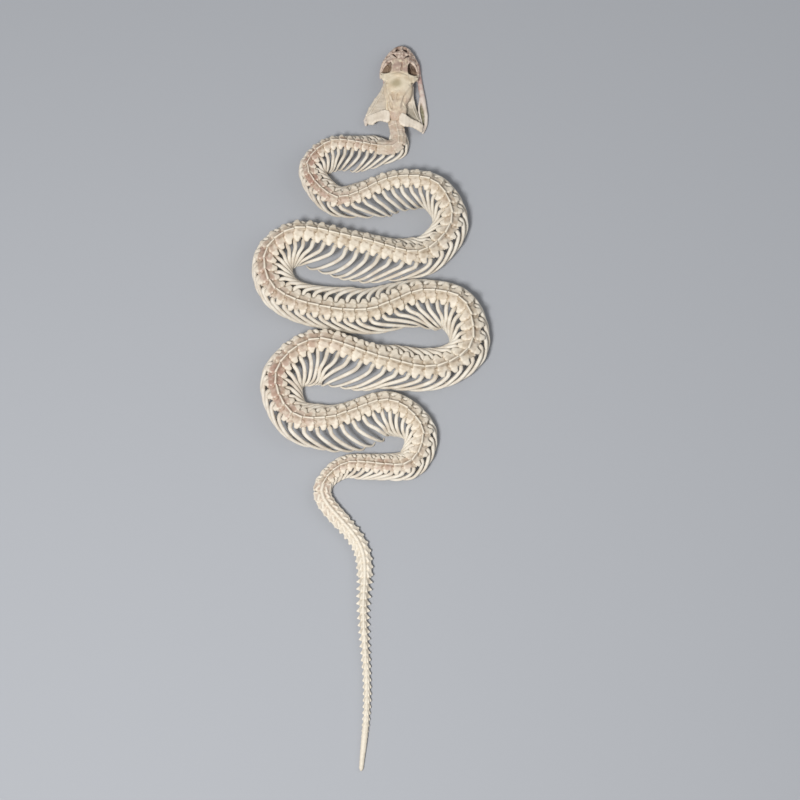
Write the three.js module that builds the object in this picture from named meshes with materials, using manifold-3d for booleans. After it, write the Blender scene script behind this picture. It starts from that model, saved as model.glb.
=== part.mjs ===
// Skeleton of a stout-bodied snake, lying belly down in seven bends with the tail stretched out behind it.
// Millimetres, +Z up. The head points to +Y and the tail tip to -Y. Rib tips, jaws and tail rest on z = 0.
// The origin is the middle of the footprint. A place on the body is given in body coordinates: the distance
// along the spine from the back of the skull, the distance to the left of the spine, and the height.
import * as THREE from 'three';
import { mergeVertices } from 'three/addons/utils/BufferGeometryUtils.js';
import Module from 'manifold-3d';

const wasm = await Module();
wasm.setup();

// ---- Pose: the crest of the neural spines seen from above, from the skull to the tail tip ----
const SPINE_WAY = [
  [-3.0, 180.7], [-1.9, 163.2], [-43.3, 163.9], [-57.1, 147.5], [-38.8, 126.4], [-3.0, 139.1],
  [22.1, 135.5], [31.6, 112.0], [13.8, 91.4], [-25.3, 99.5], [-65.8, 105.5], [-82.0, 90.0],
  [-74.9, 66.7], [-23.2, 53.3], [14.9, 66.2], [37.8, 60.2], [43.1, 32.7], [21.1, 18.0],
  [-11.1, 23.8], [-52.3, 35.0], [-74.2, 14.9], [-64.5, -10.9], [-43.0, -13.7], [-5.0, -2.7],
  [13.6, -19.9], [5.8, -39.9], [-34.3, -40.0], [-46.7, -55.5], [-22.7, -90.7], [-21.6, -129.6],
  [-19.2, -180.2], [-22.6, -221.5],
];
const FOOTPRINT_MIDDLE = [-18.09, 5.17];     // middle of the footprint in the way points' own coordinates
const STEPS_PER_SPAN = 60;           // straight steps between two way points

// ---- Profiles along the spine: [distance from the skull, value] ----
const PITCH = [[0, 4.2], [41, 4.8], [92, 6.3], [204, 6.9], [428, 7.3], [611, 7.3], [713, 6.6],
  [795, 5.6], [856, 4.7], [917, 4.5], [973, 3.9], [1019, 2.6]];
const CREST_HEIGHT = [[0, 10.5], [20, 12.5], [60, 16], [150, 20], [713, 20], [795, 14.5], [840, 8.6],
  [880, 6.4], [940, 4.8], [1019, 2.0]];
const GIRTH = [[0, 0.64], [30, 0.66], [81, 0.75], [153, 0.88], [255, 1], [632, 1], [733, 0.9],
  [815, 0.72], [876, 0.62], [917, 0.55], [968, 0.42], [1019, 0.2]];
const TAIL_HALF_WIDTH = [[838, 5.6], [870, 5.6], [895, 5.2], [912, 4.7], [927, 4.0], [942, 3.6], [960, 2.9],
  [977, 2.6], [992, 2.2], [1003, 1.75], [1019, 1.2]];

// ---- Lean of the vertebrae to the left (degrees) and reach of the ribs on each side:
// [distance, lean, reach to the left, reach to the right]. Ribs splay on the inner side of each bend. ----
const CAGE = [
  [0, 0, 4.5, 5], [24, 0, 6.5, 7.5], [34, -3, 12, 9], [42, -4, 15, 7.5], [54, -8, 15, 5.5], [70, -6, 13.5, 5],
  [86, -4, 10.5, 4.6], [117, -4, 10.5, 8], [128, -2, 9.5, 13], [140, 2, 7, 18], [165, 2, 7.5, 17],
  [185, 0, 8.5, 13], [199, 0, 9.5, 11.5], [218, -3, 9.5, 12], [238, -6, 12, 13], [250, -7, 17, 10],
  [260, -8, 21, 8], [276, -8, 22, 7.5], [300, -6, 20, 6.8], [320, -4, 17.5, 6.8], [342, -3, 16, 7],
  [375, -6, 14.5, 8.5], [408, -9, 18, 9], [434, -7, 15, 13], [459, -4, 9.5, 20], [480, 0, 8.5, 17.5],
  [501, 2, 9.5, 14], [520, 6, 9.5, 12.5], [540, 9, 10, 15], [565, 9, 14, 12.5], [580, 7, 19.5, 8.5],
  [600, 5, 23.5, 7.5], [614, 4, 23.5, 7.5], [632, 2, 20, 8], [649, 0, 15, 9], [668, -2, 12.5, 10],
  [690, -2, 11.5, 15], [708, 0, 8.5, 20.5], [727, 0, 7.5, 20], [745, 0, 7.5, 15.5], [763, 2, 8, 10.5],
  [780, 5, 7.5, 10], [795, 4, 6.5, 8.5], [813, 2, 8.5, 6], [835, 0, 5, 5], [1019, 0, 3, 3],
];

// ---- Vertebrae, at girth 1: distance from the mid plane and drop below the crest ----
const ROOF = { side: 1.1, drop: 2.7 };
const WING = { side: 6.3, drop: 5.6 };          // outer end of the joint processes
const FLANK = { side: 4.7, drop: 9.4 };         // where the rib head sits
const KEEL_DROP = 11.2;
const WAIST = { crestDrop: 0.3, wing: 4.1, wingDrop: 5.2, flank: 2.8, flankDrop: 9.0, keelDrop: 10.2 };
const WAIST_AT = 0.52;                          // share of the pitch from the joint processes to the waist
const SMALLEST_SIDE = 0.35;                     // the crest is never thinner than this on one side
const HALVES_GAP = 0.32;                        // thin cut between left and right halves
const LENGTHS_GAP = 0.32;                       // cut between two lengths of the body
const FIRST_STATION = 2;                        // middle of the atlas
const TAIL_TIP = 1018.5;
const LAST_STATION = 1013;                      // none starts behind this

// ---- Ribs, at girth 1 ----
const RIB = { rootSide: 4.8, rootDrop: 8.6, sweep: 16.5, thickness: 1.7, thinnest: 0.4 };
// The rib's two steering points. Values in a pair are for a tucked rib and what is added when it is open.
const RIB_BEND = {
  upperAlong: 0.06,                             // shares of the sweep
  lowerAlong: 0.55,
  upperOut: 0.62,                               // share of the way from the root to the reach half way down
  midWeight: 0.4,                               // how much of that reach the lower point takes
  lowerOut: [1.35, -0.33],
  upperRise: [1.2, 3.6],
  lowerHeight: [1.8, 6.6],
  tipOut: [0.5, 0.5],
};
const RIB_GROWTH = [[0, 0.6], [25, 1], [790, 1], [838, 0.3]];    // share of the full sweep
const TUCKED_REACH = 9;                         // reach at which a rib curls under the body
const SPLAY_RANGE = 9;                          // and how much more opens it fully
const FIRST_RIBBED = 2;                         // the atlas and axis carry none
const RIB_SHOULDER = 0.2;                       // share of the rib's curve where its flared head ends
const RIB_FOOT = 0.86;                          // and where its tip meets the floor
const RIB_SLOPE_STEP = 0.03;
const RIB_CORNER = { side: 0.87, low: 0.5 };    // corners of the rib's three-sided section, by its radius
const TANGENT_REACH = 5;                        // half the chord that gives the spine's direction
const RIB_TANGENT_REACH = 10;                   // a longer one keeps the ribs from crossing in a bend

// ---- Lengths that the body is parted into: name and where each ends ----
const LENGTHS = [['neck', 50], ['trunk_1', 128], ['trunk_2', 262], ['trunk_3', 430], ['trunk_4', 575],
  ['trunk_5', 708], ['trunk_6', 795], ['trunk_7', 838]];
const TAIL_LENGTHS = [['tail_1', 900], ['tail_2', 960], ['tail_3', TAIL_TIP]];
const RIBS_END = 838;

// ---- Tail vertebrae, by crest height or half width ----
const TAIL = { waist: 0.5, keel: 0.16, keelRise: 0.14, processHeight: 0.45 };

// ---- Skull: head coordinates are forward from the occiput, left, and height above the floor ----
const SKULL_AT = [-3.1, 180.6];
const SKULL_HEADING = 85.1;
// rows of the lofted bones: [forward, left, middle height, half width, half height]
const BRAINCASE = [[-0.6, 0, 8.2, 2.0, 1.6], [1.2, 0, 8.2, 4.6, 3.2], [7, 0, 8.4, 6.4, 4.0],
  [15, 0, 8.8, 7.8, 4.6], [22, 0, 9.0, 9.0, 4.8], [26.5, 0, 9.2, 8.4, 4.4], [30, 0, 9.4, 5.6, 3.4],
  [36, 0, 9.4, 4.5, 2.6], [41, 0, 8.8, 4.3, 2.1]];
const SNOUT = [[41.4, 0, 7.4, 3.9, 2.2], [45, 0, 6.6, 4.6, 2.3], [48.5, 0, 5.4, 3.5, 1.8],
  [51, 0, 4.6, 1.9, 1.1]];
const POSTORBITAL = [[24.5, 5, 10.2, 1.8, 1.4], [27.5, 9, 9.4, 1.5, 1.3], [28.6, 11.8, 8.2, 1.2, 1.2],
  [29.6, 12.2, 6.6, 0.6, 0.6]];
const PREFRONTAL = [[38, 3, 9.4, 1.6, 1.2], [39.6, 6, 8.6, 1.5, 1.1], [40, 8.4, 7.4, 0.9, 0.9]];
const SUPRATEMPORAL = [[13, 6.4, 10.4, 1.3, 0.9], [3.2, 7.0, 10.2, 1.4, 0.8]];
const MAXILLA = [[49.2, 5.0, 4.5, 0.9, 0.8], [45, 8.6, 4.5, 1.1, 1.1], [37, 11.1, 4.6, 1.2, 1.2],
  [28.6, 11.0, 4.6, 0.8, 0.7]];
const PALATE = [[28.0, 9.0, 4.2, 0.9, 0.5], [22, 8.6, 3.7, 1.3, 0.5], [15, 9.8, 3.6, 2.0, 0.5],
  [9, 11.7, 3.6, 2.3, 0.5], [3.6, 14.2, 3.6, 1.6, 0.5]];
const QUADRATE = [[5.2, 10.6, 9.8, 2.2, 0.6], [3.4, 12.0, 8.4, 2.6, 0.7], [1.0, 14.2, 6.4, 2.3, 0.8],
  [-1.4, 16.8, 4.5, 1.7, 0.8]];
const MANDIBLE_RIGHT = [[-5.0, -17.8, 1.6, 0.9, 0.9], [-1.5, -18.8, 1.5, 1.6, 1.5], [4, -18.6, 1.9, 2.2, 1.9],
  [11, -16.9, 1.7, 2.1, 1.7], [18, -15.3, 1.5, 1.8, 1.5], [27, -13.6, 1.4, 1.4, 1.4],
  [40, -11.0, 1.3, 1.2, 1.3], [48, -6.0, 1.2, 1.1, 1.2], [51, -2.4, 1.2, 0.8, 1.0]];
const MANDIBLE_LEFT = [[-2.6, 18.4, 1.6, 0.9, 0.9], [0.5, 18.6, 1.5, 1.5, 1.5], [5, 17.4, 1.4, 1.8, 1.4],
  [11, 13.9, 1.3, 1.6, 1.3], [19, 9.6, 1.3, 1.4, 1.3], [28, 9.2, 1.3, 1.3, 1.3],
  [41, 9.3, 1.3, 1.2, 1.3], [48.4, 4.6, 1.2, 1.0, 1.2], [50.6, 1.4, 1.2, 0.7, 1.0]];
const BAR_SIDES = 6;
const SPUR_SIDES = 4;
const BRAINCASE_SIDES = 8;

// ---- Colours ----
const IVORY = 0xdccfb4;
const CREAM = 0xe6dcc6;
const TAN = 0xcdbb9c;

function valueAt(rows, distance, column = 1) {
  const last = rows.length - 1;
  if (distance <= rows[0][0]) return rows[0][column];
  if (distance >= rows[last][0]) return rows[last][column];
  const k = rows.findIndex((row) => row[0] >= distance);
  const [a, b] = [rows[k - 1], rows[k]];
  return a[column] + ((b[column] - a[column]) * (distance - a[0])) / (b[0] - a[0]);
}

// The spine's plan line: a centripetal Catmull-Rom curve through the way points, by its length.
const plan = (() => {
  const [middleX, middleY] = FOOTPRINT_MIDDLE;
  const way = SPINE_WAY.map(([x, y]) => new THREE.Vector3(x - middleX, y - middleY, 0));
  const curve = new THREE.CatmullRomCurve3(way, false, 'centripetal');
  const points = curve.getPoints((way.length - 1) * STEPS_PER_SPAN);
  const reached = [0];
  for (let i = 1; i < points.length; i += 1) {
    reached.push(reached[i - 1] + points[i].distanceTo(points[i - 1]));
  }
  return { points, reached };
})();

function planPoint(distance) {
  const { points, reached } = plan;
  const last = reached.length - 1;
  const wanted = Math.min(Math.max(distance, 0), reached[last]);
  let low = 0;
  let high = last;
  while (high - low > 1) {
    const middle = (low + high) >> 1;
    if (reached[middle] <= wanted) low = middle;
    else high = middle;
  }
  const share = (wanted - reached[low]) / (reached[high] - reached[low]);
  return points[low].clone().lerp(points[high], share);
}

// Body coordinates to the part's own.
function onBody(distance, left, height, tangentReach = TANGENT_REACH) {
  const ahead = planPoint(distance + tangentReach);
  const along = ahead.sub(planPoint(distance - tangentReach)).normalize();
  const at = planPoint(distance);
  return new THREE.Vector3(at.x - along.y * left, at.y + along.x * left, height);
}

// A point of a vertebra: side is to the left, drop is below the crest, both before the vertebra leans.
function onVertebra(distance, side, drop) {
  const lean = THREE.MathUtils.degToRad(valueAt(CAGE, distance));
  const left = side * Math.cos(lean) - drop * Math.sin(lean);
  const height = valueAt(CREST_HEIGHT, distance) - side * Math.sin(lean) - drop * Math.cos(lean);
  return [distance, left, height];
}

function stations() {
  const list = [];
  for (let at = FIRST_STATION; at < LAST_STATION; at += valueAt(PITCH, at)) list.push(at);
  return list;
}

// One half of a vertebra's outline through its joint processes, from crest to keel, on the left (1) or the
// right (-1) of the cut.
function wideHalf(distance, hand) {
  const girth = valueAt(GIRTH, distance);
  const cut = HALVES_GAP / 2 / girth;
  const roof = Math.max(ROOF.side, SMALLEST_SIDE / girth);
  const outline = [[cut, 0], [roof, ROOF.drop], [WING.side, WING.drop], [FLANK.side, FLANK.drop],
    [cut, KEEL_DROP]];
  return outline.map(([side, drop]) => onBody(...onVertebra(distance, hand * side * girth, drop * girth)));
}

// The same through its waist, where the roof runs straight up to the crest.
function waistHalf(distance, hand) {
  const girth = valueAt(GIRTH, distance);
  const cut = HALVES_GAP / 2 / girth;
  const outline = [[cut, WAIST.crestDrop], [WAIST.wing, WAIST.wingDrop], [WAIST.flank, WAIST.flankDrop],
    [cut, WAIST.keelDrop]];
  return outline.map(([side, drop]) => onBody(...onVertebra(distance, hand * side * girth, drop * girth)));
}

// The four points that steer a rib, in body coordinates.
function ribCurve(distance, hand) {
  const girth = valueAt(GIRTH, distance);
  const sweep = RIB.sweep * girth * valueAt(RIB_GROWTH, distance);
  const column = hand > 0 ? 2 : 3;
  const reach = valueAt(CAGE, distance + sweep, column);
  const midReach = valueAt(CAGE, distance + sweep / 2, column);
  const open = THREE.MathUtils.clamp((reach / girth - TUCKED_REACH) / SPLAY_RANGE, 0, 1);
  const opened = ([tucked, added]) => tucked + added * open;
  const root = onVertebra(distance, hand * RIB.rootSide * girth, RIB.rootDrop * girth);
  const bow = (midReach - RIB.rootSide * girth) * RIB_BEND.upperOut;
  const mixedReach = midReach * RIB_BEND.midWeight + reach * (1 - RIB_BEND.midWeight);
  return new THREE.CubicBezierCurve3(
    new THREE.Vector3(...root),
    new THREE.Vector3(distance + RIB_BEND.upperAlong * sweep, root[1] + hand * bow,
      root[2] + opened(RIB_BEND.upperRise) * girth),
    new THREE.Vector3(distance + RIB_BEND.lowerAlong * sweep, hand * mixedReach * opened(RIB_BEND.lowerOut),
      opened(RIB_BEND.lowerHeight) * girth),
    new THREE.Vector3(distance + sweep, hand * reach * opened(RIB_BEND.tipOut), 0),
  );
}

function ribRadius(girth) {
  return (RIB.thickness * (RIB.thinnest + (1 - RIB.thinnest) * girth)) / 2;
}

// Three corners round a rib: the head side's lower one, the tail side's lower one and the top one.
function ribRing(curve, step, girth, hand) {
  const [before, here, after] = [step - RIB_SLOPE_STEP, step, step + RIB_SLOPE_STEP].map((at) => {
    const point = curve.getPoint(at);
    return onBody(point.x, point.y, point.z, RIB_TANGENT_REACH);
  });
  const along = after.sub(before).normalize();
  const across = new THREE.Vector3(0, 0, 1).cross(along).normalize();
  const over = along.clone().cross(across);
  const radius = ribRadius(girth);
  const corner = (sideways, up) => here.clone().addScaledVector(across, sideways * radius)
    .addScaledVector(over, up * radius);
  return [corner(hand * RIB_CORNER.side, -RIB_CORNER.low), corner(-hand * RIB_CORNER.side, -RIB_CORNER.low),
    corner(0, 1)];
}

// The same three corners where the rib comes down, with the lower two on the floor.
function footRing(curve, step, girth, hand) {
  const here = curve.getPoint(step);
  const end = curve.getPoint(1);
  const centre = onBody(here.x, here.y, 0, RIB_TANGENT_REACH);
  const along = onBody(end.x, end.y, 0, RIB_TANGENT_REACH).sub(centre).normalize();
  const across = new THREE.Vector3(-along.y, along.x, 0);
  const radius = ribRadius(girth);
  const top = centre.clone().setZ(2 * radius);
  return [centre.clone().addScaledVector(across, hand * radius),
    centre.clone().addScaledVector(across, -hand * radius), top];
}

// A closed mesh from rings of corners. A ring is a list of corner numbers.
class Shell {
  corners = [];

  triangles = [];

  ring(points) {
    const first = this.corners.length;
    this.corners.push(...points);
    return points.map((_, i) => first + i);
  }

  // Joins two rings. The quad numbered openAt keeps only its first triangle, so that a rib can grow there.
  // A corner that a ring names twice running leaves out the triangle between its two places.
  band(ringA, ringB, openAt = -1) {
    ringA.forEach((corner, i) => {
      const j = (i + 1) % ringA.length;
      if (ringB[i] !== ringB[j]) this.triangles.push([corner, ringB[i], ringB[j]]);
      if (i !== openAt && corner !== ringA[j]) this.triangles.push([corner, ringB[j], ringA[j]]);
    });
  }

  startCap(ring) {
    for (let i = 1; i < ring.length - 1; i += 1) this.triangles.push([ring[0], ring[i], ring[i + 1]]);
  }

  endCap(ring) {
    this.startCap([...ring].reverse());
  }

  point(ring, tip) {
    const [apex] = this.ring([tip]);
    ring.forEach((corner, i) => this.triangles.push([corner, apex, ring[(i + 1) % ring.length]]));
  }

  volume() {
    return this.triangles.reduce((sum, [a, b, c]) => {
      const normal = this.corners[b].clone().cross(this.corners[c]);
      return sum + this.corners[a].dot(normal);
    }, 0);
  }

  geometry() {
    const geometry = new THREE.BufferGeometry();
    const positions = this.corners.flatMap((point) => [point.x, point.y, point.z]);
    const faces = this.volume() > 0 ? this.triangles : this.triangles.map(([a, b, c]) => [a, c, b]);
    geometry.setAttribute('position', new THREE.Float32BufferAttribute(positions, 3));
    geometry.setIndex(faces.flat());
    return geometry;
  }
}

// A rib grown from the triangle between the joint process, the flank and the waist.
function growRib(shell, base, distance, hand) {
  const girth = valueAt(GIRTH, distance);
  const curve = ribCurve(distance, hand);
  const shoulder = shell.ring(ribRing(curve, RIB_SHOULDER, girth, hand));
  const foot = shell.ring(footRing(curve, RIB_FOOT, girth, hand));
  const end = curve.getPoint(1);
  shell.band(base, shoulder);
  shell.band(shoulder, foot);
  shell.point(foot, onBody(end.x, end.y, 0, RIB_TANGENT_REACH));
}

// One side of a length of the trunk: half of each vertebra, and that side's ribs.
function trunkHalf(list, from, to, hand) {
  const shell = new Shell();
  const [wing, flank] = [2, 3];
  let previous = null;
  for (let i = from; i < to; i += 1) {
    const at = list[i];
    const wide = shell.ring(wideHalf(at, hand));
    const [crest, ...sides] = shell.ring(waistHalf(at + WAIST_AT * valueAt(PITCH, at), hand));
    const waist = [crest, crest, ...sides];
    if (previous) shell.band(previous, wide);
    else shell.startCap(wide);
    const ribbed = i >= FIRST_RIBBED;
    shell.band(wide, waist, ribbed ? wing : -1);
    if (ribbed) growRib(shell, [wide[flank], waist[flank], wide[wing]], at, hand);
    previous = waist;
  }
  const end = shell.ring(wideHalf(list[to] - LENGTHS_GAP, hand));
  shell.band(previous, end);
  shell.endCap(end);
  return shell.geometry();
}

// Outline of a tail vertebra: crest, left process, keel, right process.
function tailRing(distance, waisted) {
  const crest = valueAt(CREST_HEIGHT, distance);
  const process = valueAt(TAIL_HALF_WIDTH, distance) * (waisted ? TAIL.waist : 1);
  const keel = TAIL.keel * process;
  const keelHeight = waisted ? TAIL.keelRise * crest : 0;
  const outline = [[0, crest], [process, TAIL.processHeight * crest], [keel, keelHeight], [-keel, keelHeight],
    [-process, TAIL.processHeight * crest]];
  return outline.map(([left, height]) => onBody(distance, left, height));
}

function tailLength(list, from, to) {
  const shell = new Shell();
  let previous = null;
  for (let i = from; i < to; i += 1) {
    const wide = shell.ring(tailRing(list[i], false));
    const waist = shell.ring(tailRing(list[i] + WAIST_AT * valueAt(PITCH, list[i]), true));
    if (previous) shell.band(previous, wide);
    else shell.startCap(wide);
    shell.band(wide, waist);
    previous = waist;
  }
  const isTip = to === list.length;
  const end = shell.ring(tailRing(isTip ? TAIL_TIP : list[to] - LENGTHS_GAP, isTip));
  shell.band(previous, end);
  shell.endCap(end);
  return shell.geometry();
}

// Head coordinates (forward, left, height) to the part's own.
function onHead(forward, left, height) {
  const heading = THREE.MathUtils.degToRad(SKULL_HEADING);
  const [x, y] = SKULL_AT;
  return new THREE.Vector3(
    x - FOOTPRINT_MIDDLE[0] + forward * Math.cos(heading) - left * Math.sin(heading),
    y - FOOTPRINT_MIDDLE[1] + forward * Math.sin(heading) + left * Math.cos(heading),
    height,
  );
}

// A bone that follows a line, with an elliptical section square to the line as seen from above.
function loft(rows, hand = 1, sides = BAR_SIDES) {
  const shell = new Shell();
  const rings = rows.map(([forward, left, height, halfWidth, halfHeight], k) => {
    const before = rows[Math.max(k - 1, 0)];
    const after = rows[Math.min(k + 1, rows.length - 1)];
    const along = new THREE.Vector2(after[0] - before[0], after[1] - before[1]).normalize();
    return shell.ring(Array.from({ length: sides }, (_, i) => {
      const angle = ((i + 0.5) * 2 * Math.PI) / sides;
      const across = halfWidth * Math.cos(angle);
      return onHead(forward - along.y * across, hand * (left + along.x * across),
        height + halfHeight * Math.sin(angle));
    }));
  });
  shell.startCap(rings[0]);
  rings.slice(1).forEach((ring, k) => shell.band(rings[k], ring));
  shell.endCap(rings[rings.length - 1]);
  return shell.geometry();
}

function toSolid(geometry) {
  const merged = mergeVertices(geometry);
  return new wasm.Manifold(new wasm.Mesh({
    numProp: 3,
    vertProperties: new Float32Array(merged.attributes.position.array),
    triVerts: new Uint32Array(merged.index.array),
  }));
}

function join(geometries) {
  const mesh = geometries.map(toSolid).reduce((sum, solid) => sum.add(solid)).getMesh();
  const geometry = new THREE.BufferGeometry();
  geometry.setAttribute('position', new THREE.BufferAttribute(mesh.vertProperties, 3));
  geometry.setIndex(new THREE.BufferAttribute(mesh.triVerts, 1));
  return geometry;
}

const boneMaterial = (color, roughness) => new THREE.MeshStandardMaterial({ color, roughness, metalness: 0 });

function addBone(group, name, geometry, color, roughness = 0.7) {
  const bone = new THREE.Mesh(geometry, boneMaterial(color, roughness));
  bone.name = name;
  group.add(bone);
}

function makeSkull() {
  const skull = new THREE.Group();
  const bothSides = (rows) => [loft(rows, 1, SPUR_SIDES), loft(rows, -1, SPUR_SIDES)];
  const cranium = [loft(BRAINCASE, 1, BRAINCASE_SIDES), ...bothSides(POSTORBITAL), ...bothSides(PREFRONTAL),
    ...bothSides(SUPRATEMPORAL)];
  addBone(skull, 'skull_cranium', join(cranium), CREAM);
  addBone(skull, 'skull_snout', loft(SNOUT), TAN);
  [['left', 1], ['right', -1]].forEach(([side, hand]) => {
    addBone(skull, `maxilla_${side}`, loft(MAXILLA, hand), TAN);
    addBone(skull, `palate_${side}`, loft(PALATE, hand), TAN);
    addBone(skull, `quadrate_${side}`, loft(QUADRATE, hand), CREAM);
  });
  addBone(skull, 'mandible_left', loft(MANDIBLE_LEFT), CREAM);
  addBone(skull, 'mandible_right', loft(MANDIBLE_RIGHT), CREAM);
  return skull;
}

function makeTrunk(list) {
  const trunk = new THREE.Group();
  let from = 0;
  LENGTHS.forEach(([name, end]) => {
    const to = list.findIndex((at) => at > end);
    addBone(trunk, `${name}_left`, trunkHalf(list, from, to, 1), IVORY);
    addBone(trunk, `${name}_right`, trunkHalf(list, from, to, -1), IVORY);
    from = to;
  });
  return trunk;
}

function makeTail(list) {
  const tail = new THREE.Group();
  let from = list.findIndex((at) => at > RIBS_END);
  TAIL_LENGTHS.forEach(([name, end]) => {
    const next = list.findIndex((at) => at > end);
    const to = next < 0 ? list.length : next;
    addBone(tail, name, tailLength(list, from, to), CREAM);
    from = to;
  });
  return tail;
}

const vertebrae = stations();
const skeleton = new THREE.Group();
skeleton.add(makeSkull(), makeTrunk(vertebrae), makeTail(vertebrae));

export default skeleton;
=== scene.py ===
import math

import bpy
import numpy as np
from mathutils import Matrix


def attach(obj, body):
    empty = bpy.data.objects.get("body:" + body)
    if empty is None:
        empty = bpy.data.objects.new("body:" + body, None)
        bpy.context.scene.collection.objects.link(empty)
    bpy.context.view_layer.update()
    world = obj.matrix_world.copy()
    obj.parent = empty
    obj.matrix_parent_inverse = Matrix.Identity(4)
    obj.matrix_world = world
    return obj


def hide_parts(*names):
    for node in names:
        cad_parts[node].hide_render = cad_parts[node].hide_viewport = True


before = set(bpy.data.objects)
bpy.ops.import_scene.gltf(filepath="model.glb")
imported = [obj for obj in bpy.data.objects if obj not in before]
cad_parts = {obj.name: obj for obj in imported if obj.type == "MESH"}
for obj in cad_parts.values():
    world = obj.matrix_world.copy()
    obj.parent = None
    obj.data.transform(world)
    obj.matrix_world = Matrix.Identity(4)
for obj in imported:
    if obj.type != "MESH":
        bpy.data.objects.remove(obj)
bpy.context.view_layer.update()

import openvdb

MM = 0.001
rng = np.random.default_rng(7)

# ---- Pose: the crest of the neural spines seen from above, from the skull to the tail tip ----
SPINE_WAY = [
    [-3, 180.7], [-1.9, 163.2], [-43.3, 163.9], [-57.1, 147.5], [-38.8, 126.4], [-3, 139.1],
    [22.1, 135.5], [31.6, 112], [13.8, 91.4], [-25.3, 99.5], [-65.8, 105.5], [-82, 90],
    [-74.9, 66.7], [-23.2, 53.3], [14.9, 66.2], [37.8, 60.2], [43.1, 32.7], [21.1, 18],
    [-11.1, 23.8], [-52.3, 35], [-74.2, 14.9], [-64.5, -10.9], [-43, -13.7], [-5, -2.7],
    [13.6, -19.9], [5.8, -39.9], [-34.3, -40], [-46.7, -55.5], [-22.7, -90.7], [-21.6, -129.6],
    [-19.2, -180.2], [-22.6, -221.5],
]
FOOTPRINT_MIDDLE = np.array([-18.09, 5.17])
STEPS_PER_SPAN = 60

# ---- Profiles along the spine: [distance from the skull, value] ----
PITCH = [[0, 2], [2, 4.2], [41, 4.8], [92, 6.3], [204, 6.9], [428, 7.3], [611, 7.3], [713, 6.6],
         [795, 5.6], [856, 4.7], [917, 4.3], [973, 3.9], [1019, 2.6]]
CREST_HEIGHT = [[0, 10.5], [20, 12.5], [60, 16], [150, 20], [713, 20], [795, 14.5], [840, 8.6],
                [880, 6.4], [940, 4.8], [990, 3.4], [1019, 2]]
GIRTH = [[0, 0.66], [30, 0.66], [81, 0.76], [153, 0.88], [255, 1], [632, 1], [733, 0.9],
         [815, 0.72], [876, 0.62], [917, 0.55], [968, 0.42], [1019, 0.2]]
TAIL_HALF_WIDTH = [[838, 5.6], [870, 5.6], [895, 5.2], [912, 4.6], [927, 3.8], [942, 3.3], [960, 2.6],
                   [977, 2.5], [992, 2.2], [1003, 1.75], [1019, 1.2]]

# ---- Lean of the vertebrae to the left (degrees) and reach of the ribs on each side ----
CAGE = [
    [0, 0, 4.5, 5], [24, 0, 6.5, 7.5], [34, -3, 12, 9], [42, -4, 15, 7.5], [54, -8, 15, 5.5],
    [70, -6, 13.5, 5], [86, -4, 10.5, 4.6], [117, -4, 10.5, 8], [128, -2, 9.5, 13], [140, 2, 7, 17.5],
    [165, 2, 7.5, 15], [185, 0, 8.5, 12], [199, 0, 9.5, 11], [218, -3, 9.5, 12], [238, -6, 12, 13],
    [250, -7, 17, 10], [260, -8, 21, 8], [276, -8, 22, 7.5], [300, -6, 20, 6.8], [320, -4, 17.5, 6.8],
    [342, -3, 16, 7], [375, -6, 14.5, 8.5], [408, -9, 18, 9], [434, -7, 15, 13], [459, -4, 9.5, 20],
    [480, 0, 8.5, 17.5], [501, 2, 9.5, 14], [520, 6, 9.5, 12.5], [540, 9, 10, 15], [565, 9, 14, 12.5],
    [580, 7, 19.5, 8.5], [600, 5, 23.5, 7.5], [614, 4, 23.5, 7.5], [632, 2, 20, 8], [649, 0, 15, 9],
    [668, -2, 12.5, 10], [690, -2, 11.5, 15], [708, 0, 8.5, 20.5], [727, 0, 7.5, 20], [745, 0, 7.5, 15.5],
    [763, 2, 8, 10.5], [780, 5, 7.5, 10], [795, 4, 6.5, 8.5], [813, 2, 8.5, 6], [835, 0, 5, 5],
    [1019, 0, 3, 3],
]
LEAN, LEFT_REACH, RIGHT_REACH = 1, 2, 3

# ---- Stations of the vertebrae, and the lengths that the body is parted into: [name, end] ----
FIRST_STATION = 0
LAST_STATION = 1013
TAIL_TIP = 1018.5
RIBS_END = 838
FIRST_RIBBED = 2
NECK_END = 26                       # in front of this the vertebrae are closed at the sides
TRUNK_LENGTHS = [["neck", 50], ["trunk_1", 128], ["trunk_2", 262], ["trunk_3", 430], ["trunk_4", 575],
                 ["trunk_5", 708], ["trunk_6", 795], ["trunk_7", RIBS_END]]
TAIL_LENGTHS = [["tail_1", 900], ["tail_2", 960], ["tail_3", TAIL_TIP]]
MID_PITCH = 7.3                     # pitch that the trunk vertebra is drawn at
TAIL_PITCH, TAIL_WIDTH, TAIL_CREST = 4.6, 5.5, 7       # sizes that the tail vertebra is drawn at
ARCH_LEAD = 0.25                    # share of the pitch that a vertebra's joint lies behind its station
# [distance to which the shape holds, reach of its solid part to the side, radius of its side process, and
# half of the gap between its roof and the next one's]
TAIL_SHAPES = [[866, 4.8, 0.6, 0.1], [902, 4.1, 0.7, 0.3], [948, 2.8, 0.42, 0.7], [TAIL_TIP, 3.4, 0.8, 0.5]]
# The tail's last vertebrae sink into one smooth cone with faint rings: [distance along the spine, the cone's
# width and height there as a share of the tail's]
TIP_CONE = [[982, 0.5], [990, 0.78], [998, 0.93], [1004, 1]]
RING_DEPTH, RING_PITCH = 0.04, 3.1  # the depth as a share of the cone's width
TIP_ROUNDING = 1.5                  # length of the cone's rounded end
TIP_TANGENT_REACH = 3

# ---- Ribs ----
RIB_LENGTH, RIB_THICKNESS = 36.5, 2.4                  # at girth 1
THINNEST_RIB = 0.4                  # share of that thickness where the girth is 0
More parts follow.
